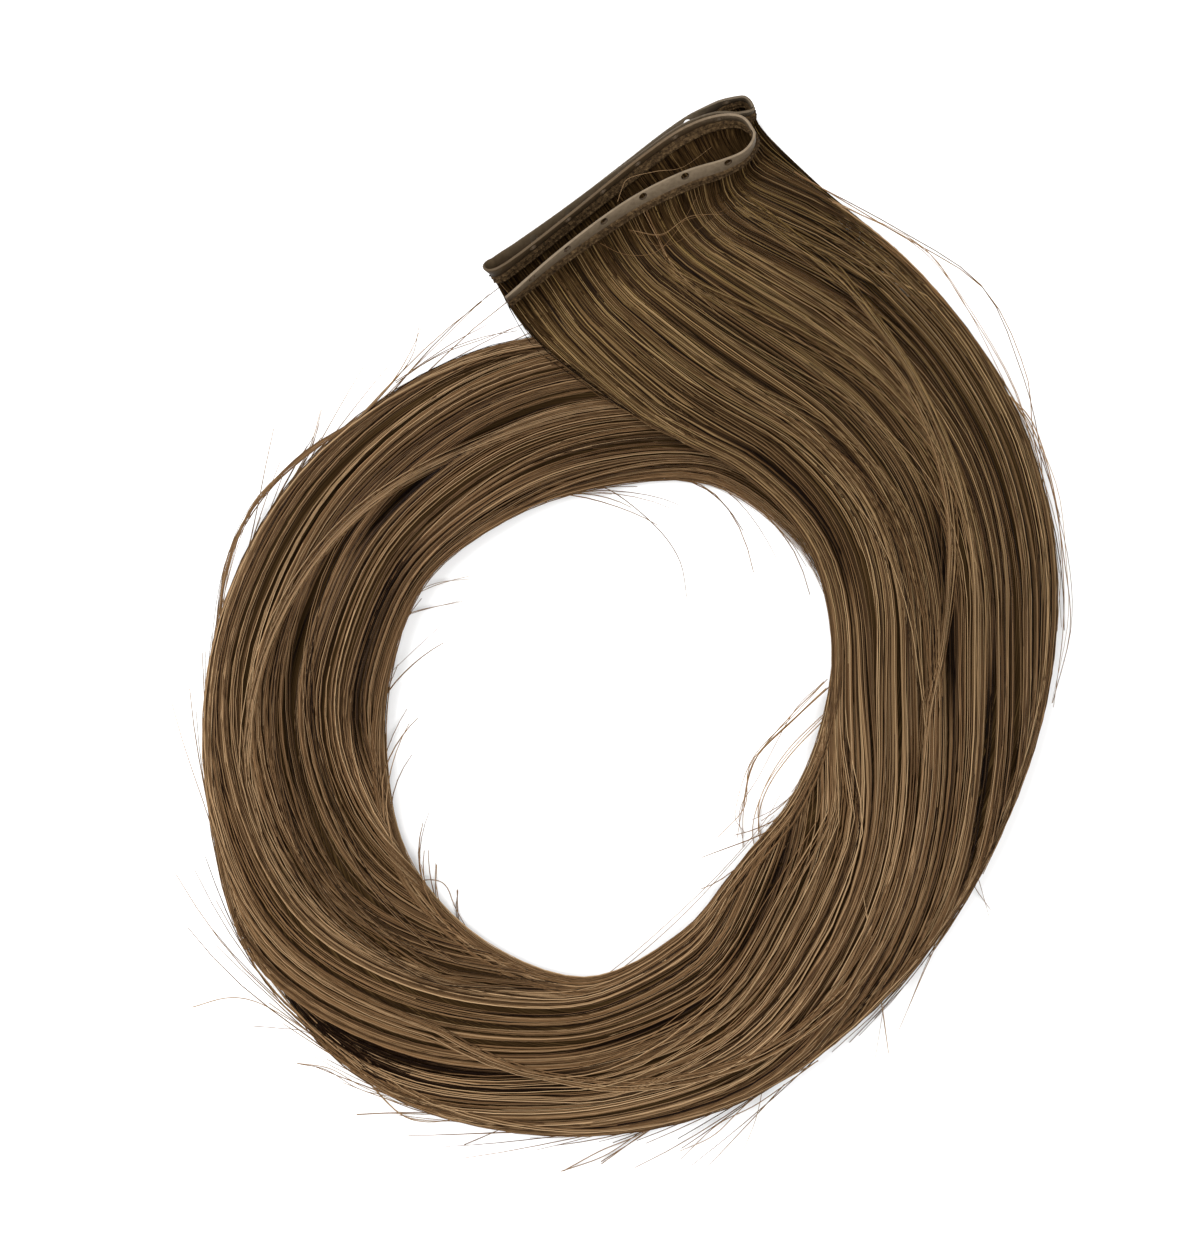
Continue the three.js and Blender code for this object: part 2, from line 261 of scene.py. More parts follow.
# Locks over the others: turn and share of the girth where they start and stop, width,
# number of hairs, and rise over the coil
DRIFT_ROWS = np.array([
    (30, 0.34, 85, 0.22, 0.06, 18, 0.6),
    (8, 0.4, 60, 0.31, 0.04, 16, 0.5),
    (6, 0.22, 50, 0.3, 0.04, 14, 0.5),
    (20, 0.14, 75, 0.22, 0.04, 14, 0.5),
    (110, 0.12, 190, 0.34, 0.06, 22, 0.6),
    (140, 0.4, 210, 0.26, 0.06, 22, 0.6),
    (215, 0.12, 290, 0.28, 0.06, 24, 0.6),
    (265, 0.36, 340, 0.23, 0.06, 24, 0.6),
])

# Short loose ends: turns between which they leave, outer (1) or inner (-1) edge, number,
# reach along the coil and swing away from it
STRAY_ROWS = np.array([
    (135, 200, 1, 18, 32, 9),
    (200, 265, 1, 18, 30, 10),
    (290, 350, 1, 14, 34, 14),
    (20, 110, 1, 20, 60, 3),
    (265, 290, 1, 6, 20, 4),
    (215, 300, -1, 14, 26, 8),
    (345, 400, -1, 12, 34, 8),
    (80, 140, -1, 8, 30, 6),
])

# Long loose hairs: number, spread, tone, radius, and a line of x, y, z
LOOSE_ROWS = [
    (2, 0.9, 0.6, 0.13, [
        (46, 139, 8), (71, 125, 8), (93, 111, 8), (103, 91, 7), (107, 72, 6), (111, 50, 5), (111, 30, 5)]),
    (3, 1, 0.6, 0.13, [
        (56, 132, 8), (77, 121, 8), (88, 107, 8), (100, 87, 7), (107, 68, 6), (112, 45, 5), (112, 25, 5)]),
    (4, 1.2, 0.6, 0.13, [(98, 86, 7), (106, 76, 7), (111, 60, 6), (115, 42, 6), (115, 26, 5), (110, 6, 5)]),
    (26, 0.7, 0.4, 0.11, [
        (-62, 78, 6), (-76, 69, 6), (-88, 57, 5), (-95, 42, 5), (-98, 22, 5), (-98.5, 5, 5)]),
    (5, 1.6, 0.6, 0.15, [(55, 12, 6), (47, 4, 4), (37, -8, 2), (33, -19, 1), (32.5, -28, 0.5)]),
    (3, 1.2, 0.6, 0.15, [(56, 6, 5), (45, -6, 3), (39, -18, 1), (38, -28, 0.6), (42, -38, 1)]),
    (1, 0.1, 0.6, 0.15, [(-8, 62, 5), (0.5, 60.3, 4), (11.8, 51.5, 2), (18, 42.8, 1), (20, 32.8, 0.4)]),
    (2, 0.8, 0.6, 0.13, [(-64, 76, 6), (-55.6, 85.4, 5), (-49.6, 94.8, 3), (-46.3, 102.8, 1)]),
    (1, 0.5, 0.6, 0.13, [(-57, 82, 6), (-48.3, 90.8, 5), (-37, 102.8, 3), (-30.5, 110.4, 1.5)]),
    (2, 0.7, 0.6, 0.13, [(-53, 87, 6), (-42, 94.1, 4), (-32, 98.5, 2), (-22, 102, 1)]),
    (1, 0.4, 0.6, 0.13, [(-49, 90, 6), (-39.1, 96.5, 4), (-30.1, 102.5, 2)]),
    (3, 1, 0.6, 0.13, [(-82, 58, 5), (-75.5, 71, 3), (-72, 81, 1)]),
    (1, 0.1, 0.7, 0.08, [
        (2.3, 129.6, 21), (3.3, 132.3, 22), (5, 135.1, 22), (11.8, 137, 21), (18, 138.3, 19),
        (25.5, 144, 15)]),
    (1, 0.1, 0.55, 0.06, [
        (-2, 119.7, 19.5), (4, 117, 19.6), (11.3, 117.3, 19.8), (17, 123, 19.8), (22.2, 131.8, 19.5)]),
    (3, 1.8, 0.55, 0.06, [(5, 123, 19.3), (13, 121.5, 19.6), (20, 124, 19.4), (28, 128, 18.6)]),
    (3, 1.6, 0.55, 0.06, [(9, 128, 19.3), (12, 120, 19.6), (17, 111, 19.2), (26, 101, 17.6)]),
    (1, 0.5, 0.6, 0.14, [
        (-104.7, -69.6, 1), (-96, -67.8, 1.5), (-88.7, -68.4, 2), (-80.6, -72, 3), (-72, -78, 4)]),
    (1, 0.5, 0.6, 0.14, [(-89.3, -74.5, 1), (-82.5, -74.9, 1.5), (-75.1, -76.4, 3), (-66, -80, 4)]),
    (2, 0.9, 0.6, 0.14, [(-78.2, -83.8, 1), (-71.4, -85.6, 1.5), (-61.6, -89.3, 3), (-50, -93, 4)]),
    (2, 0.9, 0.6, 0.14, [(-63, -97, 0.6), (-55.4, -96.1, 1), (-45.5, -95.8, 2), (-34, -97, 3)]),
    (2, 0.7, 0.6, 0.14, [
        (-67.7, -77.6, 6), (-61.6, -86.2, 4), (-52.9, -96.1, 1.5), (-45.5, -97.9, 1), (-35, -97.3, 2)]),
    (1, 0.5, 0.6, 0.14, [(-36.3, -104.5, 0.6), (-29.5, -101, 1), (-20, -96, 3)]),
    (2, 0.8, 0.6, 0.14, [(-11.7, -110.8, 0.6), (-1.2, -105.9, 1), (8, -101, 2), (17, -95, 4)]),
    (2, 0.8, 0.6, 0.14, [(-1.8, -109, 0.6), (8, -102.2, 1.5), (16, -96, 4)]),
    (1, 0.3, 0.6, 0.14, [(-43.3, -33.9, 0.6), (-43.1, -41.9, 1.5), (-40, -50, 4)]),
    (2, 0.6, 0.6, 0.14, [(-38, -40, 0.6), (-37.5, -48, 1.5), (-33, -56, 4)]),
    (1, 0.3, 0.6, 0.14, [
        (-50, -38, 3), (-44, -37.4, 2), (-40.6, -39.4, 1), (-38.2, -45.6, 1), (-33, -54, 3)]),
    (1, 0.4, 0.6, 0.14, [(43, -66, 10), (40.2, -77, 7), (37.8, -95.6, 3), (33, -110, 0.6)]),
    (2, 0.8, 0.6, 0.12, [(63, -40, 13.5), (66, -55, 12), (68.5, -68, 6), (71, -81.2, 1)]),
    (1, 0.4, 0.6, 0.1, [(69, -68, 6), (66.8, -82.4, 3), (63.7, -105.3, 0.6)]),
    (2, 0.8, 0.6, 0.13, [(88, -42, 6), (81.2, -54.6, 4), (73.7, -74.5, 0.8)]),
    (2, 0.8, 0.6, 0.13, [(90, -28, 6), (92.1, -37.2, 3), (96.3, -46.8, 0.6)]),
    (2, 0.9, 0.6, 0.13, [(52, -82, 7), (37.8, -93, 3), (27, -100, 1.5), (17.9, -106.3, 0.6)]),
    (1, 0.4, 0.6, 0.13, [(44, -88, 7), (37.2, -96.9, 2), (25.8, -109.5, 0.6)]),
    (1, 0.3, 0.6, 0.13, [(-16, -65, 8), (-2, -61.9, 6), (22.1, -41.4, 5), (37.8, -24.5, 6), (44, -14, 8)]),
    (1, 0.3, 0.6, 0.13, [(-8, -66, 8), (4, -58.9, 5), (19, -45.5, 5), (33, -30.5, 5), (41, -21, 8)]),
    (1, 0.2, 0.6, 0.1, [(-63, 5, 6), (-54.3, 14.8, 3), (-31, 37.4, 1), (-17.6, 51.4, 0.6)]),
    (2, 0.8, 0.6, 0.12, [(-56, 30, 5), (-44.3, 36.8, 2), (-33.6, 39.4, 0.8)]),
    (2, 0.8, 0.6, 0.12, [(-60, 24, 5), (-49.6, 30, 2), (-36.3, 32.8, 0.8)]),
]

# The folded weft along its lower edge, from the front end to the back end: x, y, z, how far the
# upper edge leans over in x and y as a share of the height, and how far the tape stands up from
# that lean (0 in line with the hem, 1 upright)
WEFT_ROWS = np.array([
    (-23.9, 104.8, 18, -0.2, 0.29, 0.6),
    (-9.8, 115.5, 18.5, -0.33, 0.47, 0.45),
    (6, 126.1, 18.5, -0.36, 0.54, 0.15),
    (18.9, 132.7, 18.2, -0.3, 0.56, 0),
    (28.8, 136.6, 17.4, -0.22, 0.45, 0),
    (34.5, 140.6, 16.6, -0.25, 0.2, 0.2),
    (36.4, 145.6, 15.4, -0.25, 0.1, 0.7),
    (33, 148.9, 14.2, -0.2, 0.5, 0.8),
    (27, 148.6, 13.2, -0.3, 0.7, 0.8),
    (19.3, 145.4, 12.4, -0.4, 0.78, 0.8),
    (10.5, 139.5, 11.6, -0.46, 0.74, 0.8),
    (0.9, 132.1, 11.1, -0.46, 0.7, 0.8),
    (-9.7, 123.9, 10.8, -0.42, 0.62, 0.8),
    (-20.4, 115.5, 10.6, -0.4, 0.58, 0.7),
    (-25.4, 112, 10.4, -0.37, 0.54, 0.5),
    (-27.5, 111.8, 8.7, -0.38, 0.54, 0.2),
    (-26.2, 113.5, 6.9, -0.44, 0.62, 0),
    (-20, 117.4, 6.5, -0.46, 0.68, 0),
    (-9.6, 124.6, 6.2, -0.48, 0.7, 0),
    (1, 132.4, 5.9, -0.48, 0.72, 0),
    (10.9, 139.5, 5.8, -0.48, 0.72, 0),
    (20, 146, 5.8, -0.46, 0.72, 0.05),
    (27.4, 149.8, 6, -0.36, 0.66, 0.3),
    (33, 151.2, 6, -0.26, 0.56, 0.8),
    (36.4, 153, 5.4, -0.2, 0.45, 1),
    (34.4, 156.4, 4.4, -0.2, 0.35, 1),
    (29.4, 155, 3.2, -0.35, 0.5, 0.6),
    (24, 150.4, 2.3, -0.46, 0.72, 0.05),
    (17.2, 145.6, 2.1, -0.48, 0.75, 0),
    (5, 136.4, 2.1, -0.47, 0.7, 0),
    (-8.4, 126.2, 2.1, -0.46, 0.68, 0),
    (-21.2, 117, 2.1, -0.45, 0.67, 0),
])
# Rows where the weft ends or turns: front end, right loop, left fold, right fold, back end
FOLD_ROWS = [0, 6, 15, 24, 31]

# The coil from the weft to the tips: inner turn, inner radius, outer turn, outer radius (turns
# in clockwise degrees from the top), lift of the inner edge, and the bundle's height
COIL_ROWS = np.array([
    (-12, 110, 14, 150, 1, 11),
    (-7, 91, 22, 145, 4.5, 10.5),
    (6, 77, 32, 139.8, 6, 10.5),
    (27, 72.2, 44, 133.5, 5.5, 11),
    (47, 67.8, 57, 126.6, 4, 12),
    (68, 60.3, 72, 117.6, 2.2, 13),
    (90, 53.5, 90, 107.3, 0.6, 13.5),
    (112, 49.2, 112, 98.8, 0, 14),
    (136, 46.8, 136, 95.6, 0, 14),
    (160, 53.5, 160, 97.5, 0, 15),
    (185, 62, 185, 100.5, 0, 15.5),
    (210, 61.5, 210, 105, 0, 14.5),
    (235, 59.8, 235, 106, 0, 14),
    (260, 56.8, 260, 101, 0, 13.5),
    (285, 56.5, 285, 100.2, 0, 13),
    (310, 58.8, 310, 100, 0, 11.5),
    (335, 58.8, 335, 100, 0, 9.5),
    (358, 61, 358, 99.5, 0, 7.5),
    (382, 67, 382, 97, 0, 6),
    (404, 66.5, 402, 91, 0, 4.6),
    (424, 64, 418, 80, 0, 3),
])

# Layers of the weft from the top down: which way each runs (1 from the coil's inner side to its
# outer side, -1 back), and its numbers of hairs and locks
LAYER_NAMES = ("front", "second", "third", "back")
LAYER_WAYS = (1, -1, 1, -1)
LAYER_HAIRS = (780, 140, 140, 540)
LAYER_LOCKS = (14, 6, 6, 12)


# Curves and blends

def smooth_through(rows, at):
    """Smooth values of a table's rows at fractional row numbers."""
    rows = np.asarray(rows, float)
    held = np.vstack([2 * rows[0] - rows[1], rows, 2 * rows[-1] - rows[-2]])
    first = np.clip(np.floor(at).astype(int), 0, len(rows) - 2)
    f = (at - first)[..., None]
    before, start, stop, after = (held[first + k] for k in range(4))
    leave, arrive = (stop - before) / 2, (after - start) / 2
    from_start = (2 * f**3 - 3 * f**2 + 1) * start + (f**3 - 2 * f**2 + f) * leave
    return from_start + (3 * f**2 - 2 * f**3) * stop + (f**3 - f**2) * arrive


def ease(low, high, x):
    """0 below low, 1 above high, and a smooth way between them."""
    t = np.clip((x - low) / (high - low), 0.0, 1.0)
    return t * t * (3 - 2 * t)


def unit(v):
    return v / np.maximum(np.linalg.norm(v, axis=-1, keepdims=True), 1e-12)


def run_lengths(points):
    steps = np.linalg.norm(np.diff(points, axis=0), axis=1)
    return np.concatenate([[0.0], np.cumsum(steps)])


def sway(rng, count, distance, wave, size):
    """Smooth wandering for count lines at their distances, about one wave long, size at most."""
    total = np.zeros((count, distance.shape[-1]))
    for share in (0.6, 0.4):
        length = wave * rng.uniform(0.7, 1.5, (count, 1)) * (0.5 + share)
        phase = rng.uniform(0, 2 * np.pi, (count, 1))
        total = total + share * np.sin(2 * np.pi * distance / length + phase)
    return size * total


# The folded weft

LAST_ROW = len(WEFT_ROWS) - 1
WEFT_EDGE = WEFT_ROWS[:, :3]
FINE_ROWS = np.linspace(0, LAST_ROW, 60 * LAST_ROW + 1)
WEFT_RUN = run_lengths(smooth_through(WEFT_EDGE, FINE_ROWS))
FOLD_RUN = np.interp(FOLD_ROWS, FINE_ROWS, WEFT_RUN)
SKIN_RUN = np.interp(np.linspace(0, LAST_ROW, 10 * LAST_ROW + 1), FINE_ROWS, WEFT_RUN)


def weft_frame(length):
    """Lower edge, way along, up and out of the back, at lengths along the weft."""
    row = np.interp(length, WEFT_RUN, FINE_ROWS)
    step = 1e-3
    ahead = smooth_through(WEFT_EDGE, np.minimum(row + step, LAST_ROW))
    behind = smooth_through(WEFT_EDGE, np.maximum(row - step, 0))
    along = unit(ahead - behind)
    here = smooth_through(WEFT_ROWS, row)
    lean = here[..., 3:5]
    rise = np.sqrt(np.maximum(0.05, 1 - (lean**2).sum(-1, keepdims=True)))
    up = np.concatenate([lean, rise], -1)
    up = unit(up - along * (up * along).sum(-1, keepdims=True))
    return here[..., :3], along, up, np.cross(up, along)


def tape_frame(length):
    """As weft_frame, for the tape's own lower edge on top of the hem and its own lean."""
    point, along, up, _ = weft_frame(length)
    row = np.interp(length, WEFT_RUN, FINE_ROWS)
    stand = smooth_through(WEFT_ROWS[:, 5:6], row)
    upright = np.array([0, 0, 1.0]) - along * along[..., 2:3]
    tape_up = unit(up * (1 - stand) + unit(upright) * stand)
    return point + up * (HEM_HEIGHT + SEAT_GAP), along, tape_up, np.cross(tape_up, along)


def root_frame(layer, share):
    """Where hair leaves the hem: the place, the way down, and the way out of the upper face."""
    part = share if LAYER_WAYS[layer] > 0 else 1 - share
    length = FOLD_RUN[layer] + (FOLD_RUN[layer + 1] - FOLD_RUN[layer]) * part
    point, _, up, side = weft_frame(length)
    return point + ROOT_SINK * up, -up, side * -LAYER_WAYS[layer]


# The coil

def polar(turn, radius):
    angle = np.radians(turn)
    return np.stack([radius * np.sin(angle), radius * np.cos(angle)], -1)


INNER_EDGE = polar(COIL_ROWS[:, 0], COIL_ROWS[:, 1])
OUTER_EDGE = polar(COIL_ROWS[:, 2], COIL_ROWS[:, 3])
COIL_FINE = np.linspace(0, len(COIL_ROWS) - 1, 4001)
COIL_MIDDLE = smooth_through((INNER_EDGE + OUTER_EDGE) / 2, COIL_FINE)
COIL_RUN = run_lengths(COIL_MIDDLE)
HAIR_LENGTH = COIL_RUN[-1]


def bend_share():
    """Share of the coil's whole bend that is made at each fine point of its middle line."""
    way = unit(np.diff(COIL_MIDDLE, axis=0))
    turned = np.arccos(np.clip((way[1:] * way[:-1]).sum(1), -1, 1))
    bend = np.concatenate([[0.0], np.cumsum(turned), [turned.sum()]])
    return bend / bend[-1]


STEP_SHARE = (1 - BEND_WEIGHT) * COIL_RUN / HAIR_LENGTH + BEND_WEIGHT * bend_share()


def coil_section(distance):
    """Inner edge, outer edge, lift and height of the bundle at distances along the hair."""
    row = np.interp(distance, COIL_RUN, COIL_FINE)
    depth = smooth_through(COIL_ROWS[:, 4:6], row)
    edges = (smooth_through(edge, row) for edge in (INNER_EDGE, OUTER_EDGE))
    return *edges, depth[..., 0], depth[..., 1]


def section_round():
    """Points round the bundle's unit section by share of its girth: 0 at the inner edge, over
    the top to the outer edge, and back underneath."""
    angle = np.pi - np.linspace(0, 2 * np.pi, 1441)
    c, n = np.cos(angle), np.sin(angle)
    size = (np.abs(c) ** SECTION_POWER + np.abs(n) ** SECTION_POWER) ** (-1 / SECTION_POWER)
    round_points = np.column_stack([c * size, n * size])
    girth = run_lengths(round_points * np.array([SECTION_ASPECT, 1.0]))
    return girth / girth[-1], round_points


GIRTH, SECTION = section_round()


def turn_distance(turn):
    """Distance along the hair at which the middle of the bundle has made a turn."""
    at_rows = np.interp(np.arange(len(COIL_ROWS)), COIL_FINE, COIL_RUN)
    return np.interp(turn, (COIL_ROWS[:, 0] + COIL_ROWS[:, 2]) / 2, at_rows)


def twist(distance):
    """Share of the girth by which the bundle has rolled over, inner edge towards outer."""
    total = 0.0
    for turn_a, turn_b, share in TWIST_ROWS:
        total = total + share * ease(turn_distance(turn_a), turn_distance(turn_b), distance)
    return total


def parted_depth(distance, girth):
    """How deep the hair parts at shares of the girth, mm under the skin."""
    outside, inside = PARTING_FADE
    total = 0.0
    for turn_a, turn_b, place, width, depth in PARTING_ROWS:
        start, stop = turn_distance(turn_a), turn_distance(turn_b)
        line = place + twist(distance) - twist(np.array((start + stop) / 2))
        off = np.mod(girth - line + 0.5, 1.0) - 0.5
        opens = ease(start - outside, start + inside, distance)
        closes = ease(stop - inside, stop + outside, distance)
        total = total + depth * (opens * (1 - closes)) * np.exp(-((off / width) ** 2))
    return total


def bundle_points(distance, girth, depth):
    """Points of the coiled bundle at shares of its girth, depth mm under its skin."""
    edge_in, edge_out, lift, height = coil_section(distance)
    depth = depth + parted_depth(distance, girth)
    girth = np.mod(girth, 1.0)
    x = np.interp(girth, GIRTH, SECTION[:, 0])
    y = np.interp(girth, GIRTH, SECTION[:, 1])
    across = edge_out - edge_in
    span = np.linalg.norm(across, axis=-1)
    out_x = np.sign(x) * np.abs(x) ** (SECTION_POWER - 1) / span
    out_y = np.sign(y) * np.abs(y) ** (SECTION_POWER - 1) / height
    size = np.maximum(np.hypot(out_x, out_y), 1e-9)
    share = 0.5 + 0.5 * x - depth * out_x / size / span
    rise = height * (0.5 + 0.5 * y) - depth * out_y / size
    raised = lift * (1 - ease(*LIFT_SHARES, share))
    plan = edge_in + across * share[..., None]
    return np.concatenate([plan, np.maximum(rise + raised, HAIR_CLEARANCE)[..., None]], -1)


# Paths of the hairs

def comb_roots(layer, share):
    """Roots drawn together where they leave the hem, one bundle to each stitch."""
    bundles = np.round((FOLD_RUN[layer + 1] - FOLD_RUN[layer]) / ROOT_BUNDLE_PITCH)
    spot = share * bundles
    low = np.floor(spot)
    return (low + 0.5 + ROOT_BUNDLE_WIDTH * (spot - low - 0.5)) / bundles


def hair_paths(layer, root_share, root_depth, distance, laid):
    """Paths of hairs that leave the hem in small bundles, spread, bend over and settle into their
    laid places."""
    point, down, front = (v[:, None, :] for v in root_frame(layer, root_share))
    sewn = root_frame(layer, comb_roots(layer, root_share))[0][:, None, :]
    step = np.diff(distance, axis=1)[..., None]
    flow = unit(np.diff(laid, axis=1))
    flow = np.concatenate([flow, flow[:, -1:]], 1)
    sink = np.exp(-distance / ROOT_DROP)[..., None]
    leave = down * np.concatenate([np.ones_like(sink)] * 2 + [sink], -1)
    soon = ease(*SOONER_SHARES, root_share)[:, None]
    bent, settled = (
        ease(start - start * soon, stop - sooner * soon, distance)[..., None]
        for start, stop, sooner in (BEND, SETTLE)
    )
    way = leave + (flow - leave) * bent
    run = np.cumsum((way[:, 1:] + way[:, :-1]) / 2 * step, 1)
    ray = np.concatenate([np.zeros_like(point), run], 1)
    spread = ease(0, COMB_REACH, distance)[..., None]
    ray = ray + sewn + (point - sewn) * spread + front * root_depth[:, None, None] * (1 - bent)
    path = ray + (laid - ray) * settled
    path[..., 2] = np.maximum(path[..., 2], HAIR_CLEARANCE)
    return path


def stations(lengths, girth):
    """Distances along hairs of the given lengths, closer where the coil bends and near the weft.
    Neighbours in the girth bend almost together, so that they lie side by side."""
    near = ROOT_ZONE * np.linspace(0, 1, ROOT_POINTS, endpoint=False) ** ROOT_CROWDING
    near = np.tile(near, (len(lengths), 1))
    start = np.interp(ROOT_ZONE, COIL_RUN, STEP_SHARE)
    shift = np.mod(girth / STATION_GIRTH, 1.0)
    rest = HAIR_POINTS - ROOT_POINTS
    step = (np.arange(rest)[None, :] + shift[:, None]) / (rest - 1)
    far = np.interp(start + (1 - start) * step, STEP_SHARE, COIL_RUN)
    to_tip = lengths[:, None] - np.linspace(TIP_ZONE, 0, HAIR_POINTS)[None, :]
    return np.minimum(np.concatenate([near, far], 1), to_tip)


def read_lines(table, owner, distance):
    """Lines of a table over the whole hair, read for each hair at its own distances."""
    last = table.shape[1] - 1
    step = np.clip(distance / HAIR_LENGTH, 0, 1) * last
    low = np.clip(step.astype(int), 0, last - 1)
    rows = table[owner]
    f = step - low
    return np.take_along_axis(rows, low, 1) * (1 - f) + np.take_along_axis(rows, low + 1, 1) * f


def sway_table(rng, count, wave, size):
    """Wandering lines over the whole hair, for read_lines."""
    return sway(rng, count, np.tile(np.linspace(0, HAIR_LENGTH, 160), (count, 1)), wave, size)


def hair_taper(distance, lengths):
    left = (lengths[:, None] - distance) / HAIR_LENGTH
    return TIP_WIDTH + (1 - TIP_WIDTH) * ease(0.0, TIP_TAPER, left)


def layer_girth(layer, root):
    """Share of the girth where hair of a layer lies: the front on top, the back underneath,
    and the two between at the inner and outer rims."""
    if layer == FRONT:
        return TOP_START + TOP_GIRTH * root
    if layer == BACK:
        return 1 - TOP_START - TOP_GIRTH * root
    sign = 1 if layer == SECOND else -1
    inner = sign * RIM_SHIFT + RIM_GIRTH * (root - 0.25) * sign
    outer = 0.5 - sign * RIM_SHIFT + RIM_GIRTH * (root - 0.75) * sign
    return np.where(root < 0.5, inner, outer)


def layer_hairs(layer):
    """Hairs of one layer of the weft, gathered in locks and in groups inside them."""
    count, locks = LAYER_HAIRS[layer], LAYER_LOCKS[layer]
    rng = np.random.default_rng(SEED + 10 * layer)
    root = (np.arange(count) + rng.uniform(0.1, 0.9, count)) / count
    lengths = HAIR_LENGTH * rng.uniform(*LONG_SHARES, count)
    short = rng.uniform(size=count) < SHORT_HAIRS
    lengths = np.where(short, HAIR_LENGTH * rng.uniform(*SHORT_SHARES, count), lengths)
    distance = stations(lengths, layer_girth(layer, root))
    gathered = ease(*GATHERED_AT, distance)
    at_rim = layer in (SECOND, THIRD)

    # the lock and the group in which each hair lies, and its place there
    mixed = np.clip(root + rng.normal(0, LOCK_MIXING / locks, count), 0.001, 0.999)
    lock = np.minimum((mixed * locks).astype(int), locks - 1)
    place = (root * locks - lock - 0.5)[:, None]
    in_group = np.clip(((place[:, 0] + 0.5) * LOCK_GROUPS).astype(int), 0, LOCK_GROUPS - 1)
    group = in_group + LOCK_GROUPS * lock
    centre = ((in_group + 0.5) / LOCK_GROUPS - 0.5)[:, None]
    inside = centre + (place - centre) * GROUP_NARROWING
    in_lock = place + (inside - place) * ease(*COMBED_AT, distance)

    def wander(lock_sway, group_sway):
        of_lock = read_lines(sway_table(rng, locks, *lock_sway), lock, distance)
        of_group = sway_table(rng, locks * LOCK_GROUPS, *group_sway)
        return of_lock + read_lines(of_group, group, distance)

    # where it lies in the bundle
    drift = wander(LOCK_DRIFT, GROUP_DRIFT)
    rise = wander(LOCK_RISE, GROUP_RISE)
    wild = np.where(rng.uniform(size=(count, 1)) < WILD_HAIRS, WILD_SWAY, 1.0)
    own = sum(sway(rng, count, distance, *wave) for wave in OWN_SWAYS) * wild
    girth = layer_girth(layer, (lock[:, None] + 0.5 + in_lock) / locks)
    girth = girth + (drift + own) * gathered + (0.0 if at_rim else twist(distance))
    deep = rng.uniform(0, 1, (count, 1))
    groove = GROOVE_DEPTH * np.clip(np.abs(2 * in_lock), 0, 1.2) ** 3
    depth = SKIN_DEPTH + HAIR_DEPTH * deep**1.5 + (groove - rise) * gathered
    depth = np.where(wild > 1, np.minimum(depth, 0.0), depth)
    if at_rim:
        depth = depth - RIM_STANDS_OUT * gathered
    root_depth = rng.uniform(*ROOT_DEPTHS, count)
    path = hair_paths(layer, root, root_depth, distance, bundle_points(distance, girth, depth))

    # its tone: its own at random, with painted shade near the hem, deep in the bundle, in partings and in
    # grooves
    in_fan = 1 - ease(*FAN_REACH, distance)
    tone = rng.normal(0, HAIR_TONE, (count, 1)) * (1 + FAN_CONTRAST * in_fan)
    # painted shade on the hairs deep in the bundle
    tone = tone + (RIM_TONE if at_rim else SHELL_TONE) - DEEP_SHADE * deep - FAN_SHADE * in_fan
    tone = tone + wander(LOCK_TONE, GROUP_TONE)
    # painted shade at the roots near the hem, less at the layers' open outer ends
    shaded = 1 - ease(ROOT_SHADE_REACH / 2, 2 * ROOT_SHADE_REACH, distance)
    if layer in OPEN_END_FROM:
        opened = ease(OPEN_END_FROM[layer], OPEN_END_TO, root)[:, None]
        shaded = shaded * (1 - OPEN_END_LIGHT * opened)
    tone = tone - ROOT_SHADES[layer] * shaded
    # painted shade in partings and in grooves
    tone = tone - PARTING_SHADE * parted_depth(distance, girth) - GROOVE_SHADE * groove * gathered
    radius = HAIR_RADIUS * rng.uniform(*HAIR_RADII, (count, 1)) * hair_taper(distance, lengths)
    return {"path": path, "shade": tone, "radius": radius, "along": distance / HAIR_LENGTH}


def drifting_hairs():
    """Locks that lie over the others and drift across them."""
    rng = np.random.default_rng(SEED + 70)
    parts = []
    for turn_a, girth_a, turn_b, girth_b, width, hairs, over in DRIFT_ROWS:
        count = int(hairs)
        lengths = HAIR_LENGTH * rng.uniform(*DRIFT_SHARES, count)
        spot = rng.uniform(-0.5, 0.5, (count, 1))
        distance = stations(lengths, girth_a + spot[:, 0] * width)
        start, stop = turn_distance(turn_a), turn_distance(turn_b)
        late = spot * DRIFT_LAG + rng.normal(0, DRIFT_JITTER, (count, 1))
        moved = ease(start - DRIFT_FADE, stop + DRIFT_FADE, distance + late)
        fanned = spot * width * (1 + DRIFT_FANNING * np.sin(np.pi * moved))
        girth = girth_a + (girth_b - girth_a) * moved + fanned
        girth = girth + sway(rng, count, distance, *DRIFT_SWAY)
        rolled_start, rolled_stop = twist(np.array([start])), twist(np.array([stop]))
        before = np.minimum(0, twist(distance) - rolled_start)
        after = np.maximum(0, twist(distance) - rolled_stop)
        up = ease(start - DRIFT_UP, start, distance)
        shown = up * (1 - ease(stop, stop + DRIFT_DOWN, distance))
        dome = np.sqrt(np.maximum(0, 1 - (DRIFT_DOME * spot) ** 2)) * over
        deep = rng.uniform(0, 1, (count, 1))
        depth = DRIFT_HIDDEN - shown * (DRIFT_SHOWN + dome - DRIFT_DEEP * deep)
        laid = bundle_points(distance, girth + before + after, depth)
        root = (girth_a - rolled_start) / DRIFT_ROOTS + spot[:, 0] * 2 * width
        root = np.clip(root, 0.01, 0.99)
        tone = DRIFT_TONE + rng.normal(0, DRIFT_TONES) + rng.normal(0, HAIR_TONE, (count, 1))
        # painted shade on the lock's deeper hairs
        tone = tone - DRIFT_TONES * deep
        root_depth = rng.uniform(*DRIFT_ROOT_DEPTHS, count)
        own_radius = HAIR_RADIUS * rng.uniform(*DRIFT_RADII, (count, 1))
        parts.append({
            "path": hair_paths(FRONT, root, root_depth, distance, laid),
            "shade": np.repeat(tone, HAIR_POINTS, 1),
            "radius": own_radius * hair_taper(distance, lengths),
            "along": distance / HAIR_LENGTH,
        })
    return {label: np.concatenate([part[label] for part in parts]) for label in parts[0]}


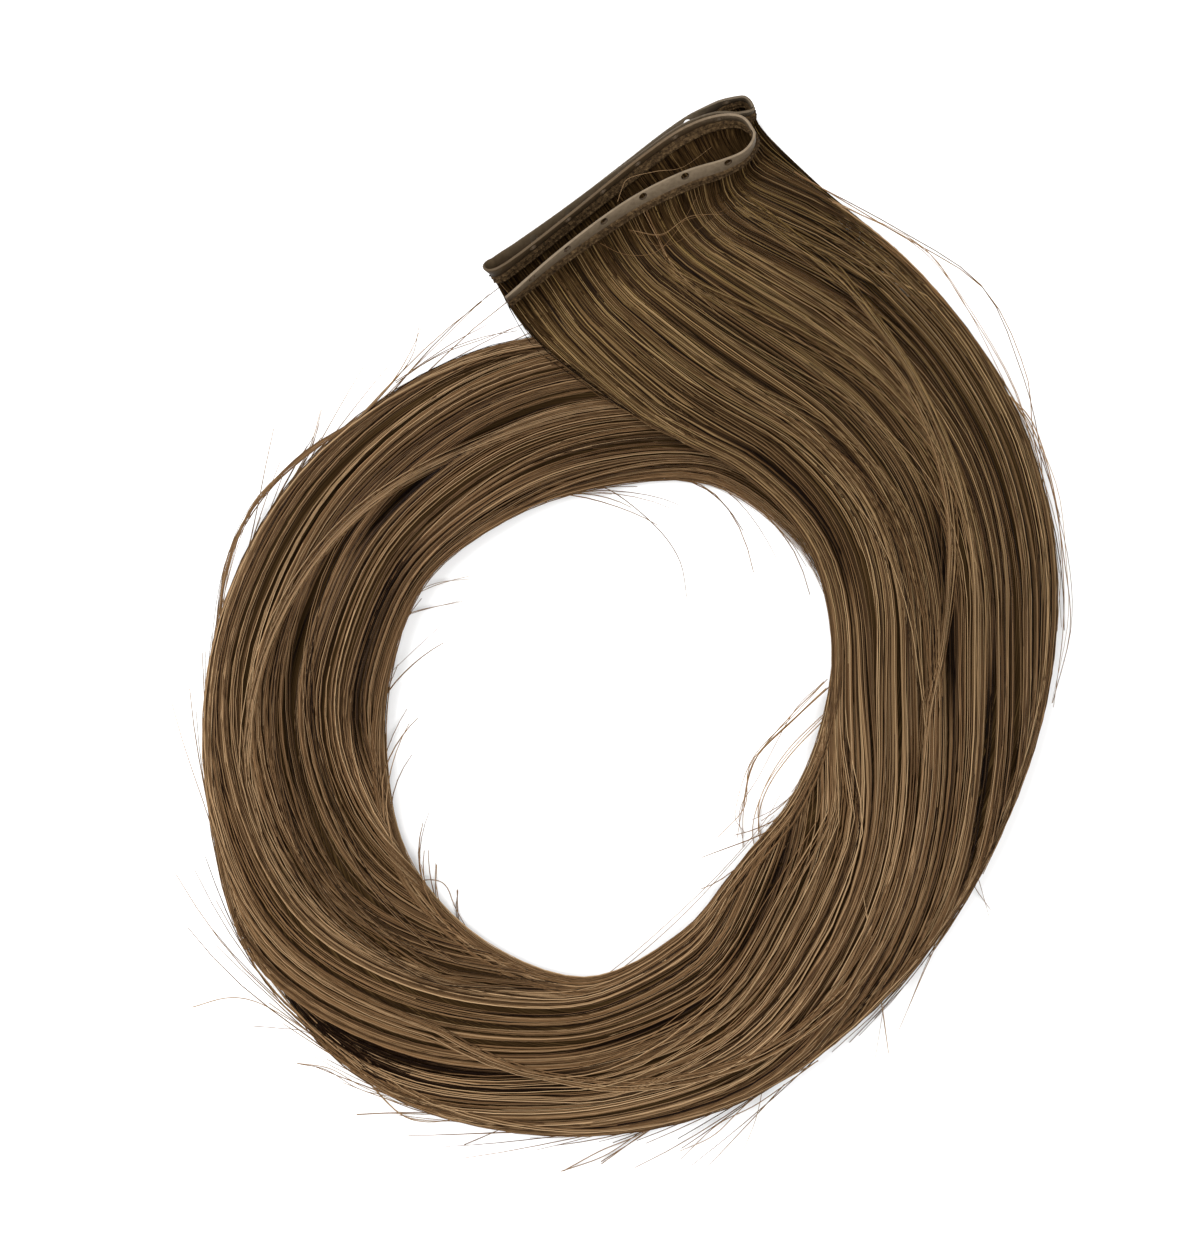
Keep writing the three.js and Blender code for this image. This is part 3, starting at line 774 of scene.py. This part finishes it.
def thin_hairs(rng, path, tone, radius):
    """Values for single loose hairs along their paths, thinner towards the tip."""
    count, points, _ = path.shape
    tone = tone + rng.normal(0, LOOSE_TONES, (count, 1))
    taper = 1 - LOOSE_TIP * np.linspace(0, 1, points)[None, :] ** 3
    return {
        "path": path,
        "shade": np.repeat(tone, points, 1),
        "radius": radius * rng.uniform(*LOOSE_RADII, (count, 1)) * taper,
        "along": np.tile(np.linspace(0.4, 1, points), (count, 1)),
    }


def stray_ends():
    """Short loose ends that leave the coil's inner or outer edge."""
    rng = np.random.default_rng(SEED + 80)
    paths = []
    for turn_a, turn_b, side, count, reach, swing in STRAY_ROWS:
        for _ in range(int(count)):
            start = turn_distance(rng.uniform(turn_a, turn_b))
            run = rng.uniform(*STRAY_RUNS) * reach
            lead = rng.uniform(*STRAY_LEADS)
            distance = np.linspace(start - lead, start + run, STRAY_POINTS)
            edge_in, edge_out, _, bundle = coil_section(np.clip(distance, 1, HAIR_LENGTH - 1))
            out = unit(edge_out - edge_in) * side
            edge = edge_out if side > 0 else edge_in
            gone = np.clip((distance - start) / reach, -1, None)
            free = np.maximum(0, gone)
            away = rng.uniform(*STRAY_SWINGS) * swing * free ** rng.uniform(*STRAY_BENDS)
            inset = rng.uniform(*STRAY_INSETS) * np.clip(-gone, 0, 1) + STRAY_EDGE
            plan = edge + out * (away - inset)[:, None]
            level = bundle * rng.uniform(*STRAY_LEVELS)
            fall = np.exp(-free * rng.uniform(*STRAY_FALLS))
            paths.append(np.column_stack([plan, np.maximum(LOOSE_CLEARANCE, level * fall)]))
    return thin_hairs(rng, np.array(paths), SHELL_TONE, STRAY_RADIUS)


def loose_hairs():
    """Long hairs that have slipped out of the coil, along the lines of their table."""
    rng = np.random.default_rng(SEED + 90)
    paths, tones, radii = [], [], []
    for count, spread, tone, radius, line in LOOSE_ROWS:
        line = np.array(line, float)
        at = np.linspace(0, len(line) - 1, LOOSE_POINTS)
        for _ in range(count):
            nudge = rng.normal(0, spread, (len(line), 3)) * LOOSE_NUDGE
            path = smooth_through(line + nudge * np.linspace(0.3, 1, len(line))[:, None], at)
            path[:, 2] = np.maximum(path[:, 2], LOOSE_CLEARANCE)
            paths.append(path)
            tones.append(tone)
            radii.append(radius)
    return thin_hairs(rng, np.array(paths), np.array(tones)[:, None], np.array(radii)[:, None])


# Node trees

def placed(name, data):
    """A new object in the scene, at the origin."""
    made = bpy.data.objects.new(name, data)
    bpy.context.scene.collection.objects.link(made)
    return made


class Nodes:
    """A node tree that is built node by node."""

    def give(self, socket, value):
        """Link an input or set it. A colour comes without its alpha."""
        if isinstance(value, bpy.types.NodeSocket):
            self.tree.links.new(value, socket)
        elif socket.type == "RGBA":
            socket.default_value = (*value, 1.0)
        else:
            socket.default_value = value

    def add(self, kind, inputs=None, **settings):
        """The outputs of a new node."""
        node = self.tree.nodes.new(kind)
        for name, value in settings.items():
            setattr(node, name, value)
        for name, value in (inputs or {}).items():
            self.give(node.inputs[name], value)
        return node.outputs

    def maths(self, operation, *values):
        return self.add("ShaderNodeMath", dict(enumerate(values)), operation=operation)["Value"]


class Grower(Nodes):
    """A geometry node tree with named inputs."""

    def __init__(self, name, inputs):
        self.tree = bpy.data.node_groups.new(name, "GeometryNodeTree")
        face = self.tree.interface
        face.new_socket("Geometry", in_out="INPUT", socket_type="NodeSocketGeometry")
        self.ids = {}
        for label, kind in inputs.items():
            socket = face.new_socket(label, in_out="INPUT", socket_type="NodeSocket" + kind)
            self.ids[label] = socket.identifier
        face.new_socket("Geometry", in_out="OUTPUT", socket_type="NodeSocketGeometry")
        self.given = self.tree.nodes.new("NodeGroupInput").outputs
        self.result = self.tree.nodes.new("NodeGroupOutput").inputs

    def field(self, name, kind="FLOAT"):
        return self.add("GeometryNodeInputNamedAttribute", {"Name": name}, data_type=kind)["Attribute"]

    def store(self, geometry, name, value, kind, domain):
        inputs = {"Geometry": geometry, "Name": name, "Value": value}
        stored = self.add("GeometryNodeStoreNamedAttribute", inputs, data_type=kind, domain=domain)
        return stored["Geometry"]

    def finish(self, geometry, material):
        real = self.add("GeometryNodeRealizeInstances", {"Geometry": geometry})["Geometry"]
        done = self.add("GeometryNodeSetMaterial", {"Geometry": real, "Material": material})
        self.tree.links.new(done["Geometry"], self.result["Geometry"])


def grown(name, start, grower, values):
    """A plain mesh object: the start mesh with the grower's tree applied to it."""
    source = placed(name + "_start", start)
    modifier = source.modifiers.new("grow", "NODES")
    modifier.node_group = grower.tree
    for label, value in values.items():
        modifier[grower.ids[label]] = value
    bpy.context.view_layer.update()
    seen = source.evaluated_get(bpy.context.evaluated_depsgraph_get())
    mesh = bpy.data.meshes.new_from_object(seen)
    source.modifiers.remove(modifier)
    bpy.data.objects.remove(source)
    mesh.name = name
    return placed(name, mesh)


def strand_grower():
    """Round strands along lines of points, with their own width, tone and map."""
    tree = Grower("strands", {"Sides": "Int", "Width": "Float", "Material": "Material"})
    curve = tree.add("GeometryNodeMeshToCurve", {"Mesh": tree.given["Geometry"]})["Curve"]
    wide = tree.maths("MULTIPLY", tree.field("strand_radius"), tree.given["Width"])
    circle = {"Resolution": tree.given["Sides"], "Radius": 1.0}
    ring = tree.add("GeometryNodeCurvePrimitiveCircle", circle)["Curve"]
    turn = tree.add("GeometryNodeSplineParameter")["Factor"]
    ring = tree.store(ring, "round", turn, "FLOAT", "POINT")
    tube = tree.add("GeometryNodeCurveToMesh", {
        "Curve": curve, "Profile Curve": ring, "Scale": wide, "Fill Caps": True,
    })["Mesh"]
    lane = tree.maths("MULTIPLY_ADD", tree.field("round"), tree.field("lane_width"), tree.field("lane"))
    spot = tree.add("ShaderNodeCombineXYZ", {"X": tree.field("along"), "Y": lane})["Vector"]
    tube = tree.store(tube, "OFBake", spot, "FLOAT2", "CORNER")
    smooth = tree.add("GeometryNodeSetShadeSmooth", {"Geometry": tube})["Geometry"]
    tree.finish(smooth, tree.given["Material"])
    return tree


def punch_grower():
    """Round holes punched through a tape at its marked loose points."""
    tree = Grower("punched_holes", {
        "Hole radius": "Float", "Hole depth": "Float", "Sides": "Int",
        "Holes": "Object", "Material": "Material",
    })
    spots = tree.add("GeometryNodeObjectInfo", {"Object": tree.given["Holes"]})["Geometry"]
    punch = tree.add("GeometryNodeMeshCylinder", {
        "Vertices": tree.given["Sides"],
        "Radius": tree.given["Hole radius"],
        "Depth": tree.given["Hole depth"],
    })["Mesh"]
    through = {"Vector": tree.field("through", "FLOAT_VECTOR")}
    turned = tree.add("FunctionNodeAlignRotationToVector", through, axis="Z")["Rotation"]
    punches = tree.add("GeometryNodeInstanceOnPoints", {
        "Points": spots, "Instance": punch, "Rotation": turned})["Instances"]
    punches = tree.add("GeometryNodeRealizeInstances", {"Geometry": punches})["Geometry"]
    meshes = {"Mesh 1": tree.given["Geometry"], "Mesh 2": punches}
    holed = tree.add("GeometryNodeMeshBoolean", meshes, operation="DIFFERENCE", solver="MANIFOLD")
    tree.finish(holed["Mesh"], tree.given["Material"])
    return tree


def stitch_grower():
    """Plump slanted stitches on points, each facing out and lying along its own way."""
    tree = Grower("chain_stitches", {
        "Stitch length": "Float", "Stitch width": "Float", "Stitch height": "Float",
        "Material": "Material",
    })
    bead = tree.add("GeometryNodeMeshUVSphere", {"Segments": 5, "Rings": 4, "Radius": 0.5})["Mesh"]
    bead = tree.add("GeometryNodeSetShadeSmooth", {"Geometry": bead})["Geometry"]
    sides = zip("XYZ", ("length", "width", "height"))
    size = {axis: tree.given["Stitch " + side] for axis, side in sides}
    size = tree.add("ShaderNodeCombineXYZ", size)["Vector"]
    plump = {0: size, "Scale": tree.field("plump")}
    size = tree.add("ShaderNodeVectorMath", plump, operation="SCALE")["Vector"]
    axes = {
        "Primary Axis": tree.field("out", "FLOAT_VECTOR"),
        "Secondary Axis": tree.field("way", "FLOAT_VECTOR"),
    }
    turned = tree.add("FunctionNodeAxesToRotation", axes, primary_axis="Z", secondary_axis="X")
    stitches = tree.add("GeometryNodeInstanceOnPoints", {
        "Points": tree.given["Geometry"], "Instance": bead,
        "Rotation": turned["Rotation"], "Scale": size,
    })["Instances"]
    tree.finish(stitches, tree.given["Material"])
    return tree


# Materials

HAIR_ROOT_TONES = [
    (0.0, (0.003, 0.0010, 0.0002)),
    (0.5, (0.024, 0.0116, 0.0022)),
    (1.0, (0.150, 0.096, 0.031)),
]
HAIR_TIP_TONES = [
    (0.0, (0.005, 0.0016, 0.0004)),
    (0.5, (0.131, 0.0715, 0.0315)),
    (1.0, (0.325, 0.215, 0.116)),
]
# Packed hair inside the coil and in the root sheets, painted dark for the shade inside the bundle
CORE_SHADE_TONES = [
    (0.3, (0.003, 0.0014, 0.0005)),
    (0.55, (0.022, 0.012, 0.0045)),
    (0.8, (0.085, 0.052, 0.020)),
]
HEM_TONES = [
    (0.3, (0.014, 0.008, 0.0035)),
    (0.5, (0.040, 0.0235, 0.0105)),
    (0.75, (0.090, 0.057, 0.027)),
]

# Along the weft: the walls of the holes first, then the front, the loop and the folds behind. The tape's
# own colour, with painted shade on the walls of the holes, in the loop and on the folds behind
TAPE_TONES_AND_SHADE = [
    (0.0, (0.040, 0.026, 0.014)),
    (0.006, (0.108, 0.080, 0.051)),
    (0.21, (0.110, 0.081, 0.052)),
    (0.27, (0.060, 0.038, 0.019)),
    (0.50, (0.042, 0.028, 0.015)),
    (0.80, (0.055, 0.040, 0.025)),
]
# Painted highlight along the tape's upper edge, dimmer in the loop and behind, where painted shade falls
TAPE_EDGE_HIGHLIGHT_TONES = [
    (0.0, (0.140, 0.106, 0.071)),
    (0.24, (0.150, 0.114, 0.077)),
    (0.32, (0.070, 0.045, 0.023)),
    (0.52, (0.055, 0.038, 0.021)),
    (0.80, (0.090, 0.070, 0.047)),
]

# Round the tape's section: 1 on its upper edge, where a highlight is painted
TAPE_EDGE_HIGHLIGHT_MASK = [(0.18, (0, 0, 0)), (0.25, (1, 1, 1)), (0.67, (1, 1, 1)), (0.74, (0, 0, 0))]
TAPE_SPECKS = ((0.55, 0.53, 0.50), (1.35, 1.36, 1.38))


class Finish(Nodes):
    """A material on one Principled shader."""

    def __init__(self, name, **values):
        self.material = bpy.data.materials.new(name)
        self.material.use_nodes = True
        self.tree = self.material.node_tree
        self.shader = next(n for n in self.tree.nodes if n.type == "BSDF_PRINCIPLED")
        for label, value in values.items():
            self.feed(label.replace("_", " "), value)

    def feed(self, label, value):
        self.give(self.shader.inputs[label], value)

    def attribute(self, name):
        return self.add("ShaderNodeAttribute", attribute_name=name)["Fac"]

    def noise(self, where, scale, detail):
        return self.add("ShaderNodeTexNoise", {"Vector": where, "Scale": scale, "Detail": detail})["Fac"]

    def stretched(self, where, scale):
        return self.add("ShaderNodeMapping", {"Vector": where, "Scale": scale})["Vector"]

    def ranged(self, value, low, high, to_low, to_high):
        return self.add("ShaderNodeMapRange", {
            "Value": value, "From Min": low, "From Max": high, "To Min": to_low, "To Max": to_high,
        })["Result"]

    def mix(self, share, low, high):
        return self.add("ShaderNodeMix", {0: share, 6: low, 7: high}, data_type="RGBA")[2]

    def ramp(self, share, stops):
        out = self.add("ShaderNodeValToRGB", {"Fac": share})["Color"]
        ramp = out.node.color_ramp
        while len(ramp.elements) < len(stops):
            ramp.elements.new(0.5)
        for element, (place, colour) in zip(ramp.elements, stops):
            element.position = place
            element.color = (*colour, 1.0)
        return out

    def roughen(self, grain, smooth, rough, relief):
        """Roughness and bump that follow one grain, with the bump's relief in metres."""
        self.feed("Roughness", self.ranged(grain, 0.3, 0.7, smooth, rough))
        bump = {"Height": grain, "Strength": 0.4, "Distance": relief}
        self.feed("Normal", self.add("ShaderNodeBump", bump)["Normal"])


def hair_finish():
    """Hair by its shade value, which holds its own tone and painted shade, darker near the weft and warmer
    towards the tips.
    """
    finish = Finish("hair_strands", Specular_IOR_Level=0.05)
    shade, along, lane = (finish.attribute(name) for name in ("shade", "along", "lane"))
    spot = finish.add("ShaderNodeCombineXYZ", {"X": along, "Y": lane})["Vector"]
    scales = finish.noise(finish.stretched(spot, (5.0, 1900.0, 1.0)), 1.0, 2.0)
    shade = finish.maths("ADD", shade, finish.maths("MULTIPLY_ADD", scales, 0.24, -0.12))
    root = finish.ramp(shade, HAIR_ROOT_TONES)
    tip = finish.ramp(shade, HAIR_TIP_TONES)
    finish.roughen(scales, 0.32, 0.50, 0.00002)
    aged = finish.ranged(along, 0.03, 0.35, 0.0, 0.8)
    own = finish.add("ShaderNodeTexWhiteNoise", {"W": lane}, noise_dimensions="1D")["Value"]
    finish.feed("Base Color", finish.mix(finish.maths("MULTIPLY_ADD", own, 0.5, aged), root, tip))
    return finish.material


def core_shade_finish():
    """Packed hair as fine lines along its length, painted dark for the shade inside the bundle."""
    finish = Finish("hair_core", Specular_IOR_Level=0.0)
    lay = finish.add("ShaderNodeUVMap", uv_map="lay")["UV"]
    grain = finish.noise(finish.stretched(lay, (420.0, 6.0, 1.0)), 1.0, 5.0)
    finish.feed("Base Color", finish.ramp(grain, CORE_SHADE_TONES))
    finish.roughen(grain, 0.5, 0.75, 0.0003)
    return finish.material


def tape_finish():
    """Speckled tape, with painted shade in its holes, its loop and its folds behind, and a painted
    highlight along its upper edge.
    """
    finish = Finish("tape_skin", Specular_IOR_Level=0.1)
    mottle = finish.noise(finish.add("ShaderNodeTexCoord")["Object"], 900.0, 4.0)
    lay = finish.add("ShaderNodeUVMap", uv_map="lay")["UV"]
    lay = finish.add("ShaderNodeSeparateXYZ", {"Vector": lay})
    # the tape's own colour with painted shade along the weft, times its speckles
    tones = {0: finish.ramp(lay["Y"], TAPE_TONES_AND_SHADE), 1: finish.mix(mottle, *TAPE_SPECKS)}
    tone = finish.add("ShaderNodeVectorMath", tones, operation="MULTIPLY")["Vector"]
    # painted highlight on the upper edge, speckled
    edge_highlight = finish.maths("MULTIPLY", finish.ramp(lay["X"], TAPE_EDGE_HIGHLIGHT_MASK), mottle)
    finish.feed("Base Color", finish.mix(edge_highlight, tone, finish.ramp(lay["Y"], TAPE_EDGE_HIGHLIGHT_TONES)))
    finish.roughen(mottle, 0.45, 0.65, 0.0002)
    return finish.material


def hem_finish():
    """Mottled sewing thread."""
    finish = Finish("hem_thread", Specular_IOR_Level=0.05)
    mottle = finish.noise(finish.add("ShaderNodeTexCoord")["Object"], 1300.0, 3.0)
    finish.feed("Base Color", finish.ramp(mottle, HEM_TONES))
    finish.roughen(mottle, 0.65, 0.85, 0.0002)
    return finish.material


HAIR_FINISH = hair_finish()
CORE_SHADE_FINISH = core_shade_finish()
TAPE_FINISH = tape_finish()
HEM_FINISH = hem_finish()


# Meshes

def bare_mesh(name, points, values, edges=()):
    """A mesh of points in mm and edges between them, with named values or vectors on the points."""
    mesh = bpy.data.meshes.new(name)
    mesh.vertices.add(len(points))
    mesh.vertices.foreach_set("co", ((points + COIL_CENTRE) * MM).ravel())
    mesh.edges.add(len(edges))
    mesh.edges.foreach_set("vertices", np.array(edges, np.int32).ravel())
    for label, value in values.items():
        kind, field = ("FLOAT_VECTOR", "vector") if value.ndim == 2 else ("FLOAT", "value")
        layer = mesh.attributes.new(label, kind, "POINT")
        layer.data.foreach_set(field, value.astype(np.float32).ravel())
    mesh.update()
    return mesh


def lines_mesh(name, hairs):
    """A mesh of bare lines with the strands' values on its points."""
    count, points, _ = hairs["path"].shape
    first = (np.arange(count)[:, None] * points + np.arange(points - 1)[None, :]).ravel()
    values = {
        "strand_radius": hairs["radius"] * MM,
        "shade": hairs["shade"],
        "along": hairs["along"],
        "lane": (np.arange(count) + 0.1)[:, None] / count,
        "lane_width": 0.9 / count,
    }
    values = {label: np.broadcast_to(v, (count, points)).ravel() for label, v in values.items()}
    return bare_mesh(name, hairs["path"].reshape(-1, 3), values, np.stack([first, first + 1], 1))


def skin_volume(rings):
    """Signed volume between rings, to tell which way a skin faces."""
    total = 0.0
    for low, high in zip(rings[:-1], rings[1:]):
        after_low, after_high = np.roll(low, -1, 0), np.roll(high, -1, 0)
        total += (low * np.cross(after_low, after_high)).sum()
        total += (low * np.cross(after_high, high)).sum()
    return total


def skin(name, rings, material):
    """A closed skin through rings of points, rings x points x 3, with a map of how it lies."""
    steps, around, _ = rings.shape
    verts = ((rings + COIL_CENTRE) * MM).reshape(-1, 3)
    i = np.arange(around)
    j = (i + 1) % around
    quads = [
        np.stack([k * around + i, k * around + j, (k + 1) * around + j, (k + 1) * around + i], 1)
        for k in range(steps - 1)
    ]
    faces = np.concatenate(quads).tolist()
    faces.append(i[::-1].tolist())
    faces.append(((steps - 1) * around + i).tolist())
    if skin_volume(rings) < 0:
        faces = [face[::-1] for face in faces]
    mesh = bpy.data.meshes.new(name)
    mesh.from_pydata(verts.tolist(), [], faces)
    layer = mesh.uv_layers.new(name="lay")
    owner = np.empty(len(mesh.loops), np.int32)
    mesh.loops.foreach_get("vertex_index", owner)
    spots = np.stack([(owner % around) / around, (owner // around) / steps], 1)
    layer.uv.foreach_set("vector", spots.astype(np.float32).ravel())
    mesh.materials.append(material)
    mesh.polygons.foreach_set("use_smooth", np.ones(len(mesh.polygons), bool))
    mesh.update()
    return placed(name, mesh)


def swept_rings(section, edge):
    """Rings of a section, given as (side, up) points, along an edge of the weft."""
    point, _, up, side = edge
    section = np.asarray(section)
    return (
        point[:, None, :]
        + side[:, None, :] * section[None, :, 0:1]
        + up[:, None, :] * section[None, :, 1:2]
    )


def round_section(half, low, high, bevel):
    """A flat bar's section with rounded corners, counter-clockwise."""
    right, left = half - bevel, bevel - half
    bottom, top = low + bevel, high - bevel
    corners = [(right, bottom, -90), (right, top, 0), (left, top, 90), (left, bottom, 180)]
    points = []
    for x, y, start in corners:
        for turn in (0, 45, 90):
            angle = np.radians(start + turn)
            points.append((x + bevel * np.cos(angle), y + bevel * np.sin(angle)))
    return points


def core_rings():
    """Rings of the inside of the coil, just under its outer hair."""
    distance = np.linspace(CORE_START, CORE_STOP * HAIR_LENGTH, CORE_STEPS)
    girth = np.linspace(1, 0, CORE_SIDES, endpoint=False)
    distances, girths = np.meshgrid(distance, girth, indexing="ij")
    rings = bundle_points(distances, girths, CORE_DEPTH)
    opened = ease(0, CORE_OPENING, distance - CORE_START)[:, None, None] * 0.5 + 0.5
    middle = rings.mean(1, keepdims=True)
    return middle + (rings - middle) * opened


def sheet_rings(layer):
    """Rings of the thin packed sheet in which a layer's hair leaves the hem."""
    share = np.linspace(0.004, 0.996, 40)
    reach = SHEET_REACH * np.linspace(0, 1, 28) ** 1.4 + 0.1
    distance = np.tile(reach, (len(share), 1))
    sunk = SHEET_SINKS[layer]
    laid = 0.0
    for side, weight in ((FRONT, 1 - sunk), (BACK, sunk)):
        girth = np.repeat(layer_girth(side, share)[:, None], len(reach), 1)
        laid = laid + bundle_points(distance, girth, SHEET_DEPTH) * weight
    path = hair_paths(layer, share, np.full(len(share), SHEET_ROOT), distance, laid)
    middle = path.mean(0, keepdims=True)
    narrowed = 1 - SHEET_NARROWING * ease(8, SHEET_REACH, distance)
    path = middle + (path - middle) * narrowed[..., None]
    front = root_frame(layer, share)[2][:, None, :]
    settled = ease(0, ROOT_REACH, distance)[..., None]
    out = unit(front * (1 - settled) + np.array([0, 0, 1.0]) * settled) * SHEET_THICKNESS / 2
    rings = np.concatenate([path + out, (path - out)[::-1]], 0).transpose(1, 0, 2).copy()
    rings[..., 2] = np.maximum(rings[..., 2], SHEET_CLEARANCE)
    return rings


# Pieces

def keep(piece, node):
    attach(piece, "root")
    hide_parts(node)


STRANDS = strand_grower()


def hair_piece(name, hairs, start=0, stop=None):
    """A piece of the hairs from start to stop."""
    hairs = {label: value[start:stop] for label, value in hairs.items()}
    made = grown(name, lines_mesh(name + "_lines", hairs), STRANDS, {
        "Sides": STRAND_SIDES, "Width": 1.0, "Material": HAIR_FINISH,
    })
    keep(made, "hair")


def hair():
    """All the hair: the large layers in two halves each, then locks, loose hairs and inside."""
    for layer, label in enumerate(LAYER_NAMES):
        hairs = layer_hairs(layer)
        half = LAYER_HAIRS[layer] // 2
        if layer in (FRONT, BACK):
            hair_piece(f"hair_{label}_inner", hairs, 0, half)
            hair_piece(f"hair_{label}_outer", hairs, half)
        else:
            hair_piece(f"hair_{label}_layer", hairs)
    hair_piece("hair_drifting_locks", drifting_hairs())
    hair_piece("hair_stray_ends", stray_ends())
    hair_piece("hair_loose", loose_hairs())
    keep(skin("hair_core", core_rings(), CORE_SHADE_FINISH), "hair")
    for layer, label in enumerate(LAYER_NAMES):
        sheet = skin(f"hair_root_sheet_{label}", sheet_rings(layer), CORE_SHADE_FINISH)
        keep(sheet, "hair")


def lengths_along(pitch, start):
    return np.arange(start, WEFT_RUN[-1] - 1.0, pitch)


def hole_lengths():
    """Lengths along the weft of its holes: the third layer's lie half a pitch on, and none lies
    on the left fold or the right fold behind."""
    length = lengths_along(HOLE_PITCH, FIRST_HOLE)
    third = (length > FOLD_RUN[2]) & (length < FOLD_RUN[3])
    length = np.where(third, length + HOLE_PITCH / 2, length)
    clear = np.abs(length[:, None] - FOLD_RUN[None, 2:4]).min(1) > FOLD_CLEARANCE
    return length[clear]


def perforated_tape():
    section = round_section(SKIN_THICKNESS / 2, -TAPE_SINK, SKIN_HEIGHT, SKIN_BEVEL)
    plain = skin("tape_plain", swept_rings(section, tape_frame(SKIN_RUN)), TAPE_FINISH)
    length = hole_lengths()
    point, _, up, side = tape_frame(length)
    level = np.where(length < FOLD_RUN[1], FRONT_HOLE_LEVEL, BACK_HOLE_LEVEL)[:, None]
    spots = placed("tape_marks", bare_mesh("tape_marks", point + up * level, {"through": side}))
    made = grown("perforated_tape_skin", plain.data, punch_grower(), {
        "Hole radius": HOLE_DIAMETER / 2 * MM,
        "Hole depth": 3 * SKIN_THICKNESS * MM,
        "Sides": HOLE_SIDES,
        "Holes": spots,
        "Material": TAPE_FINISH,
    })
    bpy.data.objects.remove(spots)
    bpy.data.objects.remove(plain)
    made.data.set_sharp_from_angle(angle=0.7)
    keep(made, "perforated_tape")


def stitch_points():
    """Places, facings, ways and sizes of the stitches, in two rows on both faces of the hem and
    in knots at its ends and at the left fold."""
    rng = np.random.default_rng(SEED + 5)
    places, outs, ways, sizes = [], [], [], []
    for height, slant in STITCH_ROWS:
        for face in (1, -1):
            length = lengths_along(STITCH_PITCH, 0.5 + 0.4 * height)
            point, along, up, side = weft_frame(length)
            place = point + up * height + side * face * (HEM_THICKNESS / 2 - STITCH_SINK)
            places.append(place + rng.normal(0, 0.04, place.shape))
            outs.append(side * face)
            ways.append(unit(along + slant * up))
            sizes.append(rng.uniform(0.85, 1.15, len(length)))
    for end in (0.3, WEFT_RUN[-1] - 0.3, FOLD_RUN[2]):
        knot = weft_frame(np.array([end]))
        point, along, up, side = (v.repeat(KNOT_STITCHES, 0) for v in knot)
        height = rng.uniform(0.2, HEM_HEIGHT, (KNOT_STITCHES, 1))
        across = rng.uniform(-0.8, 0.8, (KNOT_STITCHES, 1))
        places.append(point + up * height + side * across)
        outs.append(unit(side + rng.normal(0, KNOT_SPREAD, side.shape)))
        ways.append(unit(up + rng.normal(0, KNOT_SPREAD, up.shape)))
        sizes.append(rng.uniform(0.9, 1.4, KNOT_STITCHES))
    return [np.concatenate(v) for v in (places, outs, ways, sizes)]


def sewn_hem():
    section = round_section(HEM_THICKNESS / 2 - STITCH_SINK, 0.0, HEM_HEIGHT, HEM_BEVEL)
    bead = skin("sewn_hem_bead", swept_rings(section, weft_frame(SKIN_RUN)), HEM_FINISH)
    keep(bead, "sewn_hem")
    places, outs, ways, sizes = stitch_points()
    marks = bare_mesh("stitch_marks", places, {"out": outs, "way": ways, "plump": sizes})
    length, width, height = STITCH_SIZE
    stitches = grown("sewn_hem_stitches", marks, stitch_grower(), {
        "Stitch length": length * MM,
        "Stitch width": width * MM,
        "Stitch height": height * MM,
        "Material": HEM_FINISH,
    })
    keep(stitches, "sewn_hem")


# Table, light and camera

def table_top():
    mesh = bpy.data.meshes.new("table")
    corners = [(x * TABLE_HALF, y * TABLE_HALF, 0) for x, y in ((-1, -1), (1, -1), (1, 1), (-1, 1))]
    mesh.from_pydata(corners, [], [(0, 1, 2, 3)])
    mesh.materials.append(Finish("table_white", Roughness=0.9, Base_Color=TABLE_TONE).material)
    placed("table", mesh)


def soft_light(name, place, size, power):
    light = bpy.data.lights.new(name, "AREA")
    light.shape = "DISK"
    light.size = size
    light.energy = power
    made = placed(name, light)
    made.location = place
    made.rotation_euler = (-Vector(place)).to_track_quat("-Z", "Y").to_euler()


def camera():
    lens = bpy.data.cameras.new("camera")
    lens.sensor_fit = "VERTICAL"
    lens.sensor_height = SENSOR_HEIGHT
    lens.lens = SENSOR_HEIGHT * CAMERA_HEIGHT / PHOTO_HEIGHT
    made = placed("camera", lens)
    made.location = VIEW_CENTRE * MM + np.array([0, 0, (CAMERA_HEIGHT + PHOTO_PLANE) * MM])
    bpy.context.scene.camera = made


def room():
    world = bpy.data.worlds.new("room")
    world.use_nodes = True
    background = world.node_tree.nodes["Background"].inputs
    background["Color"].default_value = (1, 1, 1, 1)
    background["Strength"].default_value = ROOM_LIGHT
    bpy.context.scene.world = world
    bpy.context.scene.view_settings.view_transform = "Standard"


hair()
perforated_tape()
sewn_hem()
table_top()
for row in LIGHT_ROWS:
    soft_light(*row)
camera()
room()
